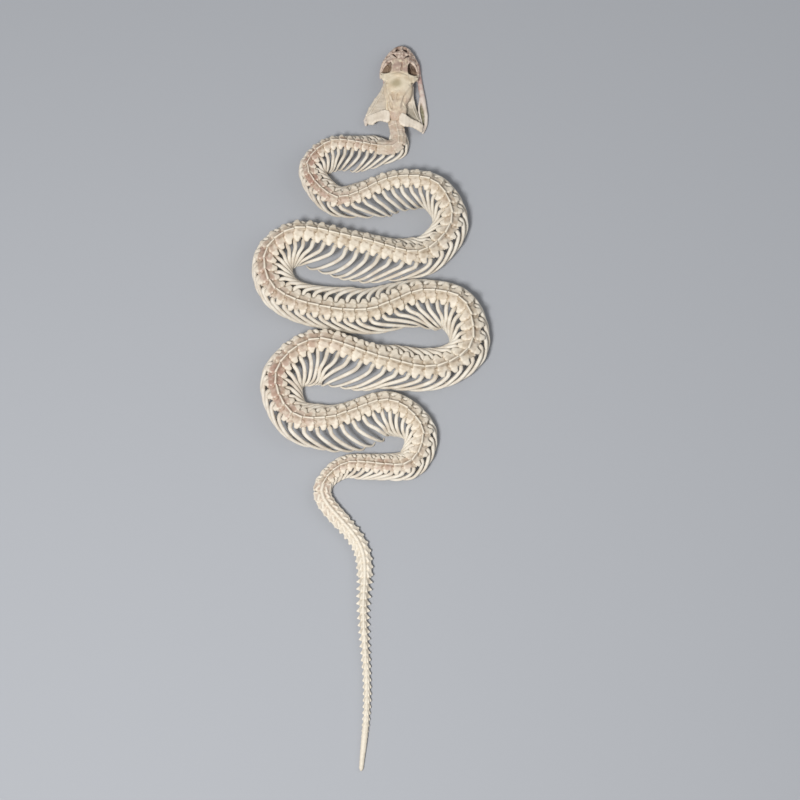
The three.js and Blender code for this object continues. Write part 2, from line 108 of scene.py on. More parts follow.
# Where a rib's head sits and where it turns away from the vertebra: [share of the pitch behind the joint,
# distance to the side, distance below the crest]
RIB_HEAD = [0.32, 4.2, 8.8]
RIB_BEND = [0.43, 5.9, 8.4]
RIB_GROWTH = [[0, 0.6], [25, 0.88], [150, 0.88], [230, 1], [640, 1], [720, 0.92], [790, 0.9],
              [RIBS_END, 0.3]]
# Ways of a splayed and of a tucked rib past that bend: [share of the sweep, share of the way out to the
# reach, share of the bend's height]
SPLAYED_RIB = [[0.03, 0.33, 1.04], [0.18, 0.65, 0.97], [0.47, 0.95, 0.62], [0.78, 1.05, 0.2], [1, 0.93, 0]]
TUCKED_RIB = [[0.06, 0.25, 0.93], [0.2, 0.6, 0.72], [0.45, 0.95, 0.4], [0.76, 0.98, 0.12], [1, 0.75, 0]]
# At girth 1, how far further in those places of a tucked rib lie, the reach up to which a rib is tucked, and
# how much more than that a fully splayed one has
TUCK_IN = [0, 0, 0, 1.4, 3.2]
TUCKED_REACH, SPLAY_RANGE = 8, 9
SHORTEST_SWEEP, LONGEST_SWEEP = 0.3, 1.05              # as shares of the rib's length
SWEEP_ROUNDS, SWEEP_STEP = 5, 1.3   # tries at the sweep, and how strongly each corrects the last
REACH_SHARE = 0.8                   # share of the sweep at which the cage's reach is looked up
RIB_TANGENT_REACH = 10
RIB_RINGS = 30
RIB_SIDES = 10
RIB_FLATNESS = 0.82                 # thickness of a rib's section as a share of its width
# [share of the way down a rib, its radius as a share of the shaft's]: head, neck, tubercle, shaft, tip
RIB_PROFILE = [[0, 1.2], [0.04, 1.25], [0.1, 1.1], [0.18, 1], [0.42, 0.98], [0.62, 0.84], [0.78, 0.66],
               [0.9, 0.48], [1, 0.32]]

# ---- How much a vertebra or a rib differs from the next ----
TURN_SPREAD, TIP_SPREAD = 0.022, 1.2                   # in radians, and in degrees
STAIN_SPREAD = (0.7, 1.2)
RIB_LENGTH_SPREAD, RIB_THICKNESS_SPREAD = 0.02, 0.04   # as shares

# ---- Grain of the modelled blocks ----
VERTEBRA_CELL, TAIL_CELL, SKULL_CELL = 0.2, 0.15, 0.2
VERTEBRA_FACES, TAIL_FACES = 4200, 1800
# Rounds of easing, and the depth that counts as a full hollow
TRUNK_HOLLOWS, TAIL_HOLLOWS, SKULL_HOLLOWS = (14, 0.4), (12, 0.24), (12, 0.22)
TRUNK_LOWEST, LOWEST = 0.05, 0.02   # lowest heights of the trunk's vertebrae, and of the tail and the skull

# ---- Skull: where the back of it is, and which way it points ----
SKULL_AT = np.array([-3.1, 180.6])
SKULL_HEADING = math.radians(85.1)


def in_scene(name, data):
    made = bpy.data.objects.new(name, data)
    bpy.context.scene.collection.objects.link(made)
    return made


# ---- Places on the body ----
def value_at(rows, distance, column=1):
    rows = np.asarray(rows, float)
    return np.interp(distance, rows[:, 0], rows[:, column])


def plan_line():
    """Close points on the crest's plan line, a centripetal Catmull-Rom, and how far along it each lies."""
    way = np.array(SPINE_WAY) - FOOTPRINT_MIDDLE
    ways = np.vstack([2 * way[0] - way[1], way, 2 * way[-1] - way[-2]])
    u = np.arange(STEPS_PER_SPAN)[:, None] / STEPS_PER_SPAN
    spans = []
    for p0, p1, p2, p3 in zip(ways, ways[1:], ways[2:], ways[3:]):
        t01, t12, t23 = (np.linalg.norm(b - a) ** 0.5 for a, b in ((p0, p1), (p1, p2), (p2, p3)))
        m1 = (p2 - p1) + t12 * ((p1 - p0) / t01 - (p2 - p0) / (t01 + t12))
        m2 = (p2 - p1) + t12 * ((p3 - p2) / t23 - (p3 - p1) / (t12 + t23))
        spans.append((2 * u**3 - 3 * u**2 + 1) * p1 + (u**3 - 2 * u**2 + u) * m1
                     + (-2 * u**3 + 3 * u**2) * p2 + (u**3 - u**2) * m2)
    points = np.vstack(spans + [way[-1:]])
    steps = np.linalg.norm(np.diff(points, axis=0), axis=1)
    return points, np.concatenate([[0], np.cumsum(steps)])


PLAN, REACHED = plan_line()


def plan_point(distance):
    return np.stack([np.interp(distance, REACHED, PLAN[:, k]) for k in (0, 1)], -1)


def unit(vectors):
    return vectors / np.linalg.norm(vectors, axis=-1, keepdims=True)


def on_body(distance, left, height, reach):
    """Body coordinates to the part's own. reach is half the chord that gives the spine's direction."""
    at = plan_point(distance)
    along = unit(plan_point(distance + reach) - plan_point(distance - reach))
    return np.stack([at[..., 0] - along[..., 1] * left, at[..., 1] + along[..., 0] * left,
                     np.broadcast_to(height, at.shape[:-1])], -1)


def stations():
    found, at = [], FIRST_STATION
    while at < LAST_STATION:
        found.append(at)
        at += value_at(PITCH, at)
    return np.array(found)


def on_head(points):
    """Head coordinates (forward, left, height) to the part's own."""
    cos, sin = math.cos(SKULL_HEADING), math.sin(SKULL_HEADING)
    forward, left, height = points.T
    x, y = SKULL_AT - FOOTPRINT_MIDDLE
    return np.stack([x + forward * cos - left * sin, y + forward * sin + left * cos, height], -1)


# ---- Clay: bone modelled from balls, bars and plates that melt into each other ----
class Clay:
    """A block of space in small cells. Each cell holds its distance to the bone's surface, below 0 inside.

    A ball is (x, y, z, radius). What is added or cut while hand is -1 lies mirrored, on the right.
    """

    FAR = 4.0

    def __init__(self, low, high, cell):
        self.low, self.cell, self.hand = np.array(low, float), cell, 1
        self.shape = np.ceil((np.array(high) - self.low) / cell).astype(int) + 1
        self.field = np.full(self.shape, self.FAR, np.float32)

    def both_sides(self):
        """Works on the left and then on the right, and goes on unmirrored."""
        for self.hand in (1, -1):
            yield self.hand
        self.hand = 1

    def _near(self, balls, reach):
        """The cells within reach of the balls: their slices and their places."""
        centres, radii = balls[:, :3], balls[:, 3:]
        first = np.floor(((centres - radii).min(0) - reach - self.low) / self.cell).astype(int)
        last = np.ceil(((centres + radii).max(0) + reach - self.low) / self.cell).astype(int) + 1
        first, last = np.clip(first, 0, self.shape), np.clip(last, 0, self.shape)
        axes = [self.low[k] + self.cell * np.arange(first[k], last[k]) for k in range(3)]
        where = tuple(slice(a, b) for a, b in zip(first, last))
        return where, np.stack(np.meshgrid(*axes, indexing="ij"), -1)

    def _set(self, balls, distance, blend, carve=False):
        balls = np.array(balls, float) * (1, self.hand, 1, 1)
        where, places = self._near(balls, self.FAR / 2)
        if places.size == 0:
            return
        old, new = self.field[where], distance(places, balls)
        if carve:
            old = -old
        melt = np.maximum(blend - np.abs(old - new), 0) ** 2 / (4 * blend)
        mixed = np.minimum(old, new) - melt
        self.field[where] = -mixed if carve else mixed

    def add(self, *balls, blend=0.5):
        """Adds one ball, a bar between two, or a plate between three."""
        self._set(balls, to_solid, blend)

    def cut(self, *balls, blend=0.3):
        self._set(balls, to_solid, blend, carve=True)

    def chain(self, *balls, blend=0.5):
        """Bars from each ball to the next, with no swelling where two of them meet."""
        self._set(balls, to_chain, blend)

    def strip(self, *rungs, blend=0.5):
        """A plate through pairs of balls, each pair a rung of it."""
        for (a, b), (c, d) in zip(rungs, rungs[1:]):
            self.add(a, b, c, blend=blend)
            self.add(b, c, d, blend=blend)

    def egg(self, centre, radii, blend=0.8):
        """An ellipsoid."""
        radii = np.array(radii, float)

        def to_egg(places, balls):
            away = (places - balls[0, :3]) / radii
            size = np.linalg.norm(away, axis=-1) + 1e-6
            slope = np.linalg.norm(away / radii, axis=-1) + 1e-6
            return size * (size - 1) / slope

        self._set([[*centre, radii.max()]], to_egg, blend)

    def shave(self, height, blend):
        """Cuts away everything above a height."""
        above = self.low[2] + self.cell * np.arange(self.shape[2]) - height
        melt = np.maximum(blend - np.abs(self.field - above), 0) ** 2 / (4 * blend)
        self.field = (np.maximum(self.field, above) + melt).astype(np.float32)

    def soften(self, rounds):
        """Rounds off creases by spreading each cell a little into the next ones."""
        for axis in [0, 1, 2] * rounds:
            rims = [(1, 1) if k == axis else (0, 0) for k in range(3)]
            padded = np.moveaxis(np.pad(self.field, rims, "edge"), axis, 0)
            self.field = np.moveaxis((padded[:-2] + 2 * padded[1:-1] + padded[2:]) / 4, 0, axis)
        self.field = np.ascontiguousarray(self.field, np.float32)
        return self

    def mesh(self, faces):
        """The surface as points and triangles, thinned to a number of triangles."""
        grid = openvdb.FloatGrid(background=self.FAR)
        grid.copyFromArray(self.field)
        points, quads = grid.convertToQuads(isovalue=0.0)
        points = self.low + self.cell * points.astype(float)
        triangles = np.vstack([quads[:, [0, 1, 2]], quads[:, [0, 2, 3]]]).astype(int)
        a, b, c = (points[triangles[:, k]] for k in range(3))
        if np.einsum("ij,ij->", a, np.cross(b, c)) < 0:
            triangles = triangles[:, ::-1]
        return thinned(points, triangles, faces)


def to_ball(places, balls):
    return np.linalg.norm(places - balls[0, :3], axis=-1) - balls[0, 3]


def to_bar(places, balls):
    a, b = balls[0], balls[1]
    line = b[:3] - a[:3]
    share = np.clip((places - a[:3]) @ line / max(line @ line, 1e-9), 0, 1)
    return np.linalg.norm(places - a[:3] - share[..., None] * line,
                          axis=-1) - (a[3] + share * (b[3] - a[3]))


def to_chain(places, balls):
    return np.minimum.reduce([to_bar(places, pair) for pair in zip(balls, balls[1:])])


def to_plate(places, balls):
    a, b, c = balls
    ab, ac, ap = b[:3] - a[:3], c[:3] - a[:3], places - a[:3]
    bb, bc, cc = ab @ ab, ab @ ac, ac @ ac
    pb, pc = ap @ ab, ap @ ac
    rim = np.minimum(np.minimum(to_bar(places, balls[[0, 1]]), to_bar(places, balls[[1, 2]])),
                     to_bar(places, balls[[2, 0]]))
    whole = bb * cc - bc * bc
    if whole < 1e-9:
        return rim
    v, w = (cc * pb - bc * pc) / whole, (bb * pc - bc * pb) / whole
    normal = np.cross(ab, ac) / math.sqrt(whole)
    face = np.abs(ap @ normal) - (a[3] + v * (b[3] - a[3]) + w * (c[3] - a[3]))
    return np.where((v >= 0) & (w >= 0) & (v + w <= 1), np.minimum(face, rim), rim)


def to_solid(places, balls):
    return (to_ball, to_bar, to_plate)[len(balls) - 1](places, balls)


def thinned(points, triangles, faces):
    """The same surface with fewer triangles."""
    mesh = bpy.data.meshes.new("block")
    mesh.from_pydata(points.tolist(), [], triangles.tolist())
    block = in_scene("block", mesh)
    modifier = block.modifiers.new("thin", "DECIMATE")
    modifier.ratio = min(1.0, faces / len(triangles))
    modifier.use_collapse_triangulate = True
    ready = block.evaluated_get(bpy.context.evaluated_depsgraph_get()).to_mesh()
    found = np.empty(len(ready.vertices) * 3, np.float32)
    ready.vertices.foreach_get("co", found)
    corners = np.empty(len(ready.loops), np.int32)
    ready.loops.foreach_get("vertex_index", corners)
    bpy.data.objects.remove(block)
    bpy.data.meshes.remove(mesh)
    return found.reshape(-1, 3).astype(float), corners.reshape(-1, 3).astype(int)


def hollows(points, triangles, rounds, full):
    """How deep in a hollow (to 1) or out on an edge (to -1) each point lies. full is the depth of a 1."""
    pairs = np.vstack([triangles[:, [0, 1]], triangles[:, [1, 2]], triangles[:, [2, 0]]])
    ends = np.vstack([pairs, pairs[:, ::-1]])
    count = np.bincount(ends[:, 0], minlength=len(points))[:, None]
    a, b, c = (points[triangles[:, k]] for k in range(3))
    across = np.cross(b - a, c - a)
    normals = np.stack([sum(np.bincount(triangles[:, k], across[:, axis], len(points)) for k in range(3))
                        for axis in range(3)], -1)
    eased = points
    for _ in range(rounds):
        sums = [np.bincount(ends[:, 0], eased[ends[:, 1], axis], len(points)) for axis in range(3)]
        eased = (eased + np.stack(sums, -1) / np.maximum(count, 1)) / 2
    normals /= np.linalg.norm(normals, axis=1)[:, None] + 1e-9
    return np.clip(np.einsum("ij,ij->i", eased - points, normals) / full, -1, 1)


# ---- Pieces ----
class Heap:
    """Meshes heaped into one, with two marks at each point: how hollow it lies, which the materials paint as
    shade in hollows and as a highlight on edges, and how stained it is.
    """

    def __init__(self):
        self.points, self.triangles, self.hollow, self.stain, self.count = [], [], [], [], 0

    def add(self, points, triangles, hollow, stain):
        self.points.append(points)
        self.triangles.append(triangles + self.count)
        self.hollow.append(np.broadcast_to(hollow, len(points)))
        self.stain.append(np.broadcast_to(stain, len(points)))
        self.count += len(points)

    def piece(self, name, material, slot, *nodes):
        mesh = bpy.data.meshes.new(name)
        mesh.from_pydata((np.vstack(self.points) * MM).tolist(), [], np.vstack(self.triangles).tolist())
        for mark, values in (("hollow", self.hollow), ("stain", self.stain)):
            layer = mesh.attributes.new(mark, "FLOAT", "POINT")
            layer.data.foreach_set("value", np.concatenate(values).astype(np.float32))
        mesh.shade_smooth()
        mesh.materials.append(material)
        made = in_scene(name, mesh)
        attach(made, "root")
        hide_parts(*nodes)


# ---- Vertebrae: x runs tailward from the front joint, y to the left and z up from the crest ----
# How much painted shade darkens the arch's roof against its lobes, which take a painted highlight, and its
# front, where the vertebra ahead overlaps it, against its rear: [distance to the side or behind the joint,
# what is added to the hollow mark]
PANEL_SHADE = [[0.5, 0], [1.4, 0.26], [3.4, 0.26], [4.8, -0.2]]
FRONT_SHADE = [[1, 0.4], [3.6, 0]]
RIDGE_HALF_WIDTH = 0.9              # beside the middle line, within which the front takes no painted shade
ROOF_EAVE = -7.2                    # height in the drawn vertebra below which the panels' painted shade and highlight are not added
CLOSED_CONTRAST = 0.55              # share of the painted shade and highlight that the neck's smoother bone keeps


def trunk_vertebra(closed):
    """closed is for the neck, where the sides are filled between one joint process and the next."""
    clay = Clay((-2.6, -8, -13.8), (10.4, 8, 0.8), VERTEBRA_CELL)
    clay.chain((0.7, 0, -9, 1.9), (3.6, 0, -9.2, 1.4), (6.4, 0, -8.9, 1.7), blend=0.8)
    clay.add((7.7, 0, -8.7, 1.5), blend=0.2)
    clay.add((1.4, 0, -10.2, 0.5), (6.4, 0, -10, 0.5), (6.6, 0, -11, 0.35), blend=0.6)
    clay.chain((5.6, 0, -10.4, 0.55), (8, 0, -12.7, 0.36), blend=0.6)
    for _ in clay.both_sides():
        add_arch_side(clay)
        if closed:
            clay.strip(((0.2, 0.4, -1.9, 0.8), (8.2, 0.4, -1.7, 0.8)),
                       ((0.2, 3.2, -2.8, 0.9), (8.2, 3.2, -2.6, 0.9)),
                       ((0.2, 5.8, -5.2, 0.9), (8.4, 5.6, -4.9, 0.9)),
                       ((0.4, 4.6, -8.4, 0.9), (7.8, 4.4, -8.4, 0.9)), blend=1.2)
    clay.add((2.2, 0, -3.2, 0.6), (7.4, 0, -2.9, 0.6), (7.9, 0, -0.8, 0.42), blend=1)
    clay.add((2.2, 0, -3.2, 0.6), (7.9, 0, -0.8, 0.42), (1.9, 0, -1, 0.4), blend=1)
    clay.chain((1.8, 0, -0.8, 0.46), (4.8, 0, -0.6, 0.5), (7.8, 0, -0.62, 0.56), blend=0.4)
    clay.cut((-3, 0, -6.5, 1.1), (11, 0, -6.1, 1.1))
    clay.cut((-1.2, 0, -9, 1.5), blend=0.4)
    clay.soften(2)
    points, triangles = clay.mesh(VERTEBRA_FACES)
    aside = abs(points[:, 1])
    # Painted shade on the roof and the front and a painted highlight on the lobes, added to the hollow mark
    panel_shade = value_at(PANEL_SHADE, aside) + value_at(FRONT_SHADE, points[:, 0]) * (aside > RIDGE_HALF_WIDTH)
    depth = hollows(points, triangles, *TRUNK_HOLLOWS) + np.where(points[:, 2] > ROOF_EAVE, panel_shade, 0)
    return points, triangles, np.clip(depth * (CLOSED_CONTRAST if closed else 1), -1, 1)


def add_arch_side(clay):
    """One side of the neural arch, its joint processes and the knob that the rib sits on."""
    clay.strip(((0.9, 0.3, -4.7, 0.7), (1.2, 2.6, -6.1, 0.7)), ((4.2, 0.3, -3.7, 0.75), (4, 3, -5.2, 0.75)),
               ((7.4, 0.4, -3, 0.7), (8.3, 2.5, -4, 0.7)), blend=1.2)
    clay.strip(((4.8, 2.8, -4.9, 0.8), (8.3, 2.5, -4, 0.7)), ((6, 4.4, -5.4, 0.95), (8, 4.3, -5, 0.95)),
               ((6.6, 6.1, -6, 0.95), (7.6, 6.1, -5.9, 0.95)), blend=0.9)
    clay.strip(((0.5, 2.6, -6.3, 0.6), (0.3, 4, -7, 0.55)), ((4.2, 2.9, -5.8, 0.6), (3.4, 4.3, -6.7, 0.55)),
               blend=0.8)
    facet = (-0.7, 2.7, -6.6, 0.5), (-0.4, 4.4, -7, 0.5), (1.2, 4.2, -6.9, 0.5), (2.1, 3, -6.3, 0.55)
    clay.strip((facet[0], facet[3]), (facet[1], facet[2]), blend=0.6)
    clay.chain((0.5, 4.2, -7.1, 0.7), (0.1, 5.4, -7.3, 0.5), blend=0.7)
    clay.chain(facet[2], (4, 3.4, -6, 0.55), (6.2, 4.2, -5.7, 0.6), blend=0.8)
    clay.strip(((1.4, 2.9, -5.8, 0.7), (1.6, 2.4, -8.4, 0.8)), ((6.2, 2.9, -5.4, 0.7), (5.6, 2, -8.4, 0.7)),
               blend=0.9)
    clay.add((-0.7, 1.5, -4.9, 0.45), (1.4, 2, -4.7, 0.55), (-0.4, 0, -4.6, 0.45), blend=0.8)
    clay.chain((2.6, 2.4, -8.2, 1), (2.4, 3.9, -8.8, 0.95), blend=0.7)
    clay.chain((2.2, 2.8, -9.4, 0.7), (1.2, 3.6, -10.2, 0.5), blend=0.6)
    clay.chain((1.4, 3, -9.4, 0.5), (6, 1.3, -9.9, 0.4), blend=0.6)


def tail_vertebra(shoulder, knob, gap):
    """A tail vertebra by a row of TAIL_SHAPES, at its drawn sizes. Here z is the height above the floor."""
    clay = Clay((-1.6, -6.8, -0.6), (7.2, 6.8, 8), TAIL_CELL)
    clay.chain((0.5, 0, 3.4, 1.25), (2.2, 0, 3.4, 1), (3.9, 0, 3.4, 1.1), blend=0.6)
    clay.add((4.7, 0, 3.4, 0.85), blend=0.2)
    flank, reach, rear = shoulder - 0.5, TAIL_WIDTH - knob, TAIL_PITCH - gap
    outline = (0.2, 5.4, 5.7), (flank * 0.6, 4.7, 5.1), (flank, 3.9, 4.1), (flank * 0.8, 2.8, 2.8)
    for _ in clay.both_sides():
        clay.strip(*[((gap, y, front_height, 0.5), (rear, y, rear_height, 0.5))
                     for y, front_height, rear_height in outline], blend=0.6)
        clay.chain((2.4, flank * 0.5, 5.5, 0.7), (4.4, flank * 0.75, 5.5, 0.8), blend=0.5)
        clay.chain((1, flank * 0.7, 4.6, 0.5), (-0.5, flank * 0.95, 4.4, 0.5), blend=0.4)
        clay.add((0.7, flank, 3.7, 0.5), (3.8, flank, 3.7, 0.5), (2.9, reach, 3.1, knob), blend=0.5)
        clay.chain((2.2, flank, 3.7, 0.6), (2.9, reach, 3.1, knob), blend=0.4)
        clay.chain((1.4, 0.5, 2.6, 0.55), (3.4, 0.7, 0.9, 0.42), (4.3, 0.7, 0.45, 0.4), blend=0.4)
    clay.add((1, 0, 5.6, 0.6), (4.2, 0, 5.8, 0.6), (4.6, 0, 6.4, 0.5), blend=1)
    clay.add((1, 0, 5.6, 0.6), (4.6, 0, 6.4, 0.5), (1.4, 0, 6.1, 0.5), blend=1)
    clay.soften(1)
    points, triangles = clay.mesh(TAIL_FACES)
    return points, triangles, hollows(points, triangles, *TAIL_HOLLOWS)


def set_trunk_vertebra(shape, at, turn, tip):
    """The vertebra's points at a station, turned (radians) and tipped (degrees) a little of its own."""
    pitch, girth = value_at(PITCH, at), value_at(GIRTH, at)
    lean = math.radians(value_at(CAGE, at, LEAN) + tip)
    along = unit(plan_point(at + pitch) - plan_point(at))
    along = np.array([along[0] * math.cos(turn) - along[1] * math.sin(turn),
                      along[0] * math.sin(turn) + along[1] * math.cos(turn)])
    x = shape[:, 0] * pitch / MID_PITCH
    side, drop = shape[:, 1] * girth, -shape[:, 2] * girth
    left = side * math.cos(lean) - drop * math.sin(lean)
    height = value_at(CREST_HEIGHT, at + x) - side * math.sin(lean) - drop * math.cos(lean)
    place = plan_point(at) + x[:, None] * along + left[:, None] * np.array([-along[1], along[0]])
    return np.column_stack([place, np.maximum(height, TRUNK_LOWEST)])


def set_tail_vertebra(shape, at):
    pitch = value_at(PITCH, at)
    x = shape[:, 0] * pitch / TAIL_PITCH
    left = shape[:, 1] * value_at(TAIL_HALF_WIDTH, at + x) / TAIL_WIDTH
    height = shape[:, 2] * value_at(CREST_HEIGHT, at + x) / TAIL_CREST
    along = unit(plan_point(at + pitch) - plan_point(at))
    place = plan_point(at) + x[:, None] * along + left[:, None] * np.array([-along[1], along[0]])
    return np.column_stack([place, np.maximum(height, LOWEST)])


# ---- Ribs ----
def through(points, count):
    """A smooth line through points, as a number of places evenly spread along it."""
    ends = np.vstack([2 * points[0] - points[1], points, 2 * points[-1] - points[-2]])
    u = np.linspace(0, 1, 10)[:-1, None]
    spans = [b + 0.5 * u * ((c - a) + u * ((2 * a - 5 * b + 4 * c - d) + u * (3 * (b - c) + d - a)))
             for a, b, c, d in zip(ends, ends[1:], ends[2:], ends[3:])]
    line = np.vstack(spans + [points[-1:]])
    reached = np.concatenate([[0], np.cumsum(np.linalg.norm(np.diff(line, axis=0), axis=1))])
    wanted = np.linspace(0, reached[-1], count)
    return np.stack([np.interp(wanted, reached, line[:, k]) for k in range(3)], -1)


def rib_line(at, hand, stretch):
    """The rib's middle line from its head to its tip. How far it sweeps back follows from its length."""
    girth, pitch, crest = value_at(GIRTH, at), value_at(PITCH, at), value_at(CREST_HEIGHT, at)
    length = RIB_LENGTH * girth * value_at(RIB_GROWTH, at) * stretch
    column = LEFT_REACH if hand > 0 else RIGHT_REACH
    lean = math.radians(value_at(CAGE, at, LEAN))

    def on_vertebra(behind, side, drop):
        side, drop = hand * side * girth, drop * girth
        return [at + behind * pitch, side * math.cos(lean) - drop * math.sin(lean),
                crest - side * math.sin(lean) - drop * math.cos(lean)]

    head, bend = on_vertebra(*RIB_HEAD), on_vertebra(*RIB_BEND)
    sweep = length / 2
    for _ in range(SWEEP_ROUNDS):
        reach_back = value_at(CAGE, bend[0] + sweep * REACH_SHARE, column)
        spread = min(max((reach_back / girth - TUCKED_REACH) / SPLAY_RANGE, 0), 1)
        shares = spread * np.array(SPLAYED_RIB) + (1 - spread) * np.array(TUCKED_RIB)
        along = bend[0] + shares[:, 0] * sweep
        reach = np.maximum(value_at(CAGE, along, column), abs(bend[1]))
        tucked = (1 - spread) * girth * np.array(TUCK_IN)
        out = hand * (abs(bend[1]) + shares[:, 1] * (reach - abs(bend[1])) - tucked)
        body = np.vstack([head, bend, np.column_stack([along, out, shares[:, 2] * bend[2]])])
        line = through(on_body(body[:, 0], body[:, 1], body[:, 2], RIB_TANGENT_REACH), RIB_RINGS)
        found = np.linalg.norm(np.diff(line, axis=0), axis=1).sum()
        sweep *= (length / found) ** SWEEP_STEP
        sweep = np.clip(sweep, SHORTEST_SWEEP * length, LONGEST_SWEEP * length)
    return line


def tube_walls(rings, sides):
    """Triangles between rings of points, each ring with as many points as the tube has sides."""
    ring, corner = np.meshgrid(np.arange(rings - 1), np.arange(sides), indexing="ij")
    a, b = (ring * sides + corner).ravel(), (ring * sides + (corner + 1) % sides).ravel()
    return np.vstack([np.column_stack([a, b, b + sides]), np.column_stack([a, b + sides, a + sides])])


def rib(at, hand, stretch, thickness):
    share = THINNEST_RIB + (1 - THINNEST_RIB) * value_at(GIRTH, at)
    line = rib_line(at, hand, stretch)
    radius = RIB_THICKNESS * share / 2 * thickness * value_at(RIB_PROFILE, np.linspace(0, 1, RIB_RINGS))
    line[:, 2] = np.maximum(line[:, 2], radius * RIB_FLATNESS)
    ahead = unit(np.gradient(line, axis=0))
    across = unit(np.cross([0, 0, 1], ahead))
    over = np.cross(ahead, across)
    angle = np.arange(RIB_SIDES) * 2 * math.pi / RIB_SIDES
    rings = (line[:, None] + across[:, None] * (np.cos(angle)[:, None] * radius[:, None, None])
             + over[:, None] * (np.sin(angle)[:, None] * RIB_FLATNESS * radius[:, None, None]))
    head, tip = line[0] - ahead[0] * radius[0] * 0.5, line[-1] + ahead[-1] * radius[-1]
    points = np.vstack([rings.reshape(-1, 3), head, tip])
    first = np.arange(RIB_SIDES)
    last = first + (RIB_RINGS - 1) * RIB_SIDES
    head_at, tip_at = np.full(RIB_SIDES, len(points) - 2), np.full(RIB_SIDES, len(points) - 1)
    caps = np.vstack([np.column_stack([head_at, np.roll(first, -1), first]),
                      np.column_stack([tip_at, last, np.roll(last, -1)])])
    return points, np.vstack([tube_walls(RIB_RINGS, RIB_SIDES), caps])


# ---- Skull bones, each in head coordinates ----
# hand is 1 on the left and -1 on the right. A table of both sides measures each towards its own side.
# The ridges that run together on the rear of the dome, its rear rim, and the grooves between them
DOME_RIDGE = {
    1: [(21.5, 6.6, 11.3, 0.7), (17.8, 5.9, 11.6, 0.7), (16.2, 5.5, 11.8, 0.65), (13.7, 4.3, 12, 0.65),
        (10.8, 2.9, 12.2, 0.65), (8.9, 1.8, 12.2, 0.7), (7.2, 1.2, 12, 0.7)],
    -1: [(21.5, 6.6, 11.3, 0.7), (17.2, 4.4, 12.1, 0.8), (14.6, 3.4, 12.3, 0.7), (10.6, 2.3, 12.2, 0.7),
         (7, 2, 11.8, 0.7)],
}
NUCHAL_CREST = [(9.5, 4.8, 10.9, 0.6), (6.8, 4.2, 11.2, 0.65), (5.2, 3.4, 11.2, 0.65),
                (4.1, 1.6, 11.5, 0.7), (4.7, -0.8, 11.6, 0.7), (5.9, -2.9, 11.2, 0.65),
                (7.6, -4.4, 10.7, 0.5)]
DOME_GROOVES = [
    [(16.4, 3.2, 12.6, 0.6), (11.8, 2.1, 12.2, 0.5)], [(15.1, -0.8, 12.8, 0.75), (12.1, -0.5, 12.5, 0.5)],
    [(9.3, 3, 11.9, 0.55), (6.3, 2.5, 11.5, 0.5)], [(14.2, -4.9, 12, 0.9), (11.6, -4.6, 11.7, 0.8)],
]


def braincase():
    """The parietal dome with its ridges, the frontals in front of it and the occiput behind."""
    clay = Clay((-3.2, -10.8, 2.4), (43.4, 10.8, 15), SKULL_CELL)
    clay.egg((19.8, 0, 8.7), (12.2, 8.9, 4.9))
    clay.egg((9, 0, 8.3), (10.5, 6, 4.3))
    clay.chain((-0.9, 0, 7.9, 1.2), (3, 0, 7.6, 2.3), blend=0.8)
    clay.chain((8, 0, 5.8, 2.2), (24, 0, 6.2, 1.6), (40.5, 0, 6.6, 0.9), blend=1)
    for _ in clay.both_sides():
        clay.egg((6, 4.2, 8.2), (4.8, 2.5, 3.1))
        clay.add((24, 6.5, 10.4, 1), (28.6, 5.2, 10.9, 0.9), (28.6, 1.5, 11.6, 1), blend=1.5)
    clay.shave(13.1, blend=1.5)
    for hand in clay.both_sides():
        clay.cut((22, 9.4, 15.8, 4.2), (5, 5.6, 15.2, 4.4), blend=2.2)
        outer = (28.6, 4.9, 10.9, 0.8), (34.5, 3.9, 10.6, 0.6), (40.4, 3.6, 9.9, 0.55)
        inner = (28.6, 0.5, 11.7, 0.9), (34.5, 0.5, 11.2, 0.75), (41.2, 0.5, 9.9, 0.55)
        keel = (29.5, 2.2, 7, 0.9), (34.5, 1.2, 6.8, 0.8), (40, 0.9, 6.8, 0.7)
        clay.strip(*zip(outer, inner), blend=1)
        clay.strip(*zip(outer, keel), blend=0.7)
        clay.chain((29.2, 5.6, 10.6, 0.6), (31.4, 4.5, 10.8, 0.5), (34.4, 4.2, 10.8, 0.5),
                   (37, 4.8, 10.5, 0.5), (38.8, 5.5, 9.8, 0.45), blend=0.8)
        clay.chain(*DOME_RIDGE[hand], blend=1.4)
        clay.cut((30.6, 0, 12.9, 0.4), (29.2, 5.2, 12.1, 0.35), blend=0.8)
        clay.cut((43.6, 5.4, 8.6, 0.55), (40.9, 2.1, 10.3, 0.45), blend=0.3)
    clay.add((11.4, -1.4, 12.3, 0.5), (6.2, -2.2, 11.7, 0.5), (5.2, 1, 11.6, 0.5), blend=0.8)
    clay.chain((17.4, -0.7, 12.6, 0.45), (15.6, 0.7, 12.65, 0.5), (12.3, 0.9, 12.35, 0.5),
               (8.9, 1, 12.2, 0.5), (7.6, 1, 12.1, 0.5), blend=0.8)
    clay.chain(*NUCHAL_CREST, blend=0.8)
    clay.chain((4.6, 0.2, 11, 0.8), (1.4, 0, 10.2, 0.8), blend=1.2)
    for groove in DOME_GROOVES:
        clay.cut(*groove, blend=0.5)
    clay.cut((32, -1.2, 11.9, 0.6), (37.4, -1.2, 11.1, 0.6), blend=0.4)
    clay.add((38.6, 0, 10.4, 0.85), blend=0.8)
    return clay.soften(2)


def side_clay(hand, low, high):
    """Clay beside the middle line, ready for one hand. low and high are its corners on the left."""
    near, far = sorted((hand * low[1], hand * high[1]))
    clay = Clay((low[0], near, low[2]), (high[0], far, high[2]), SKULL_CELL)
    clay.hand = hand
    return clay


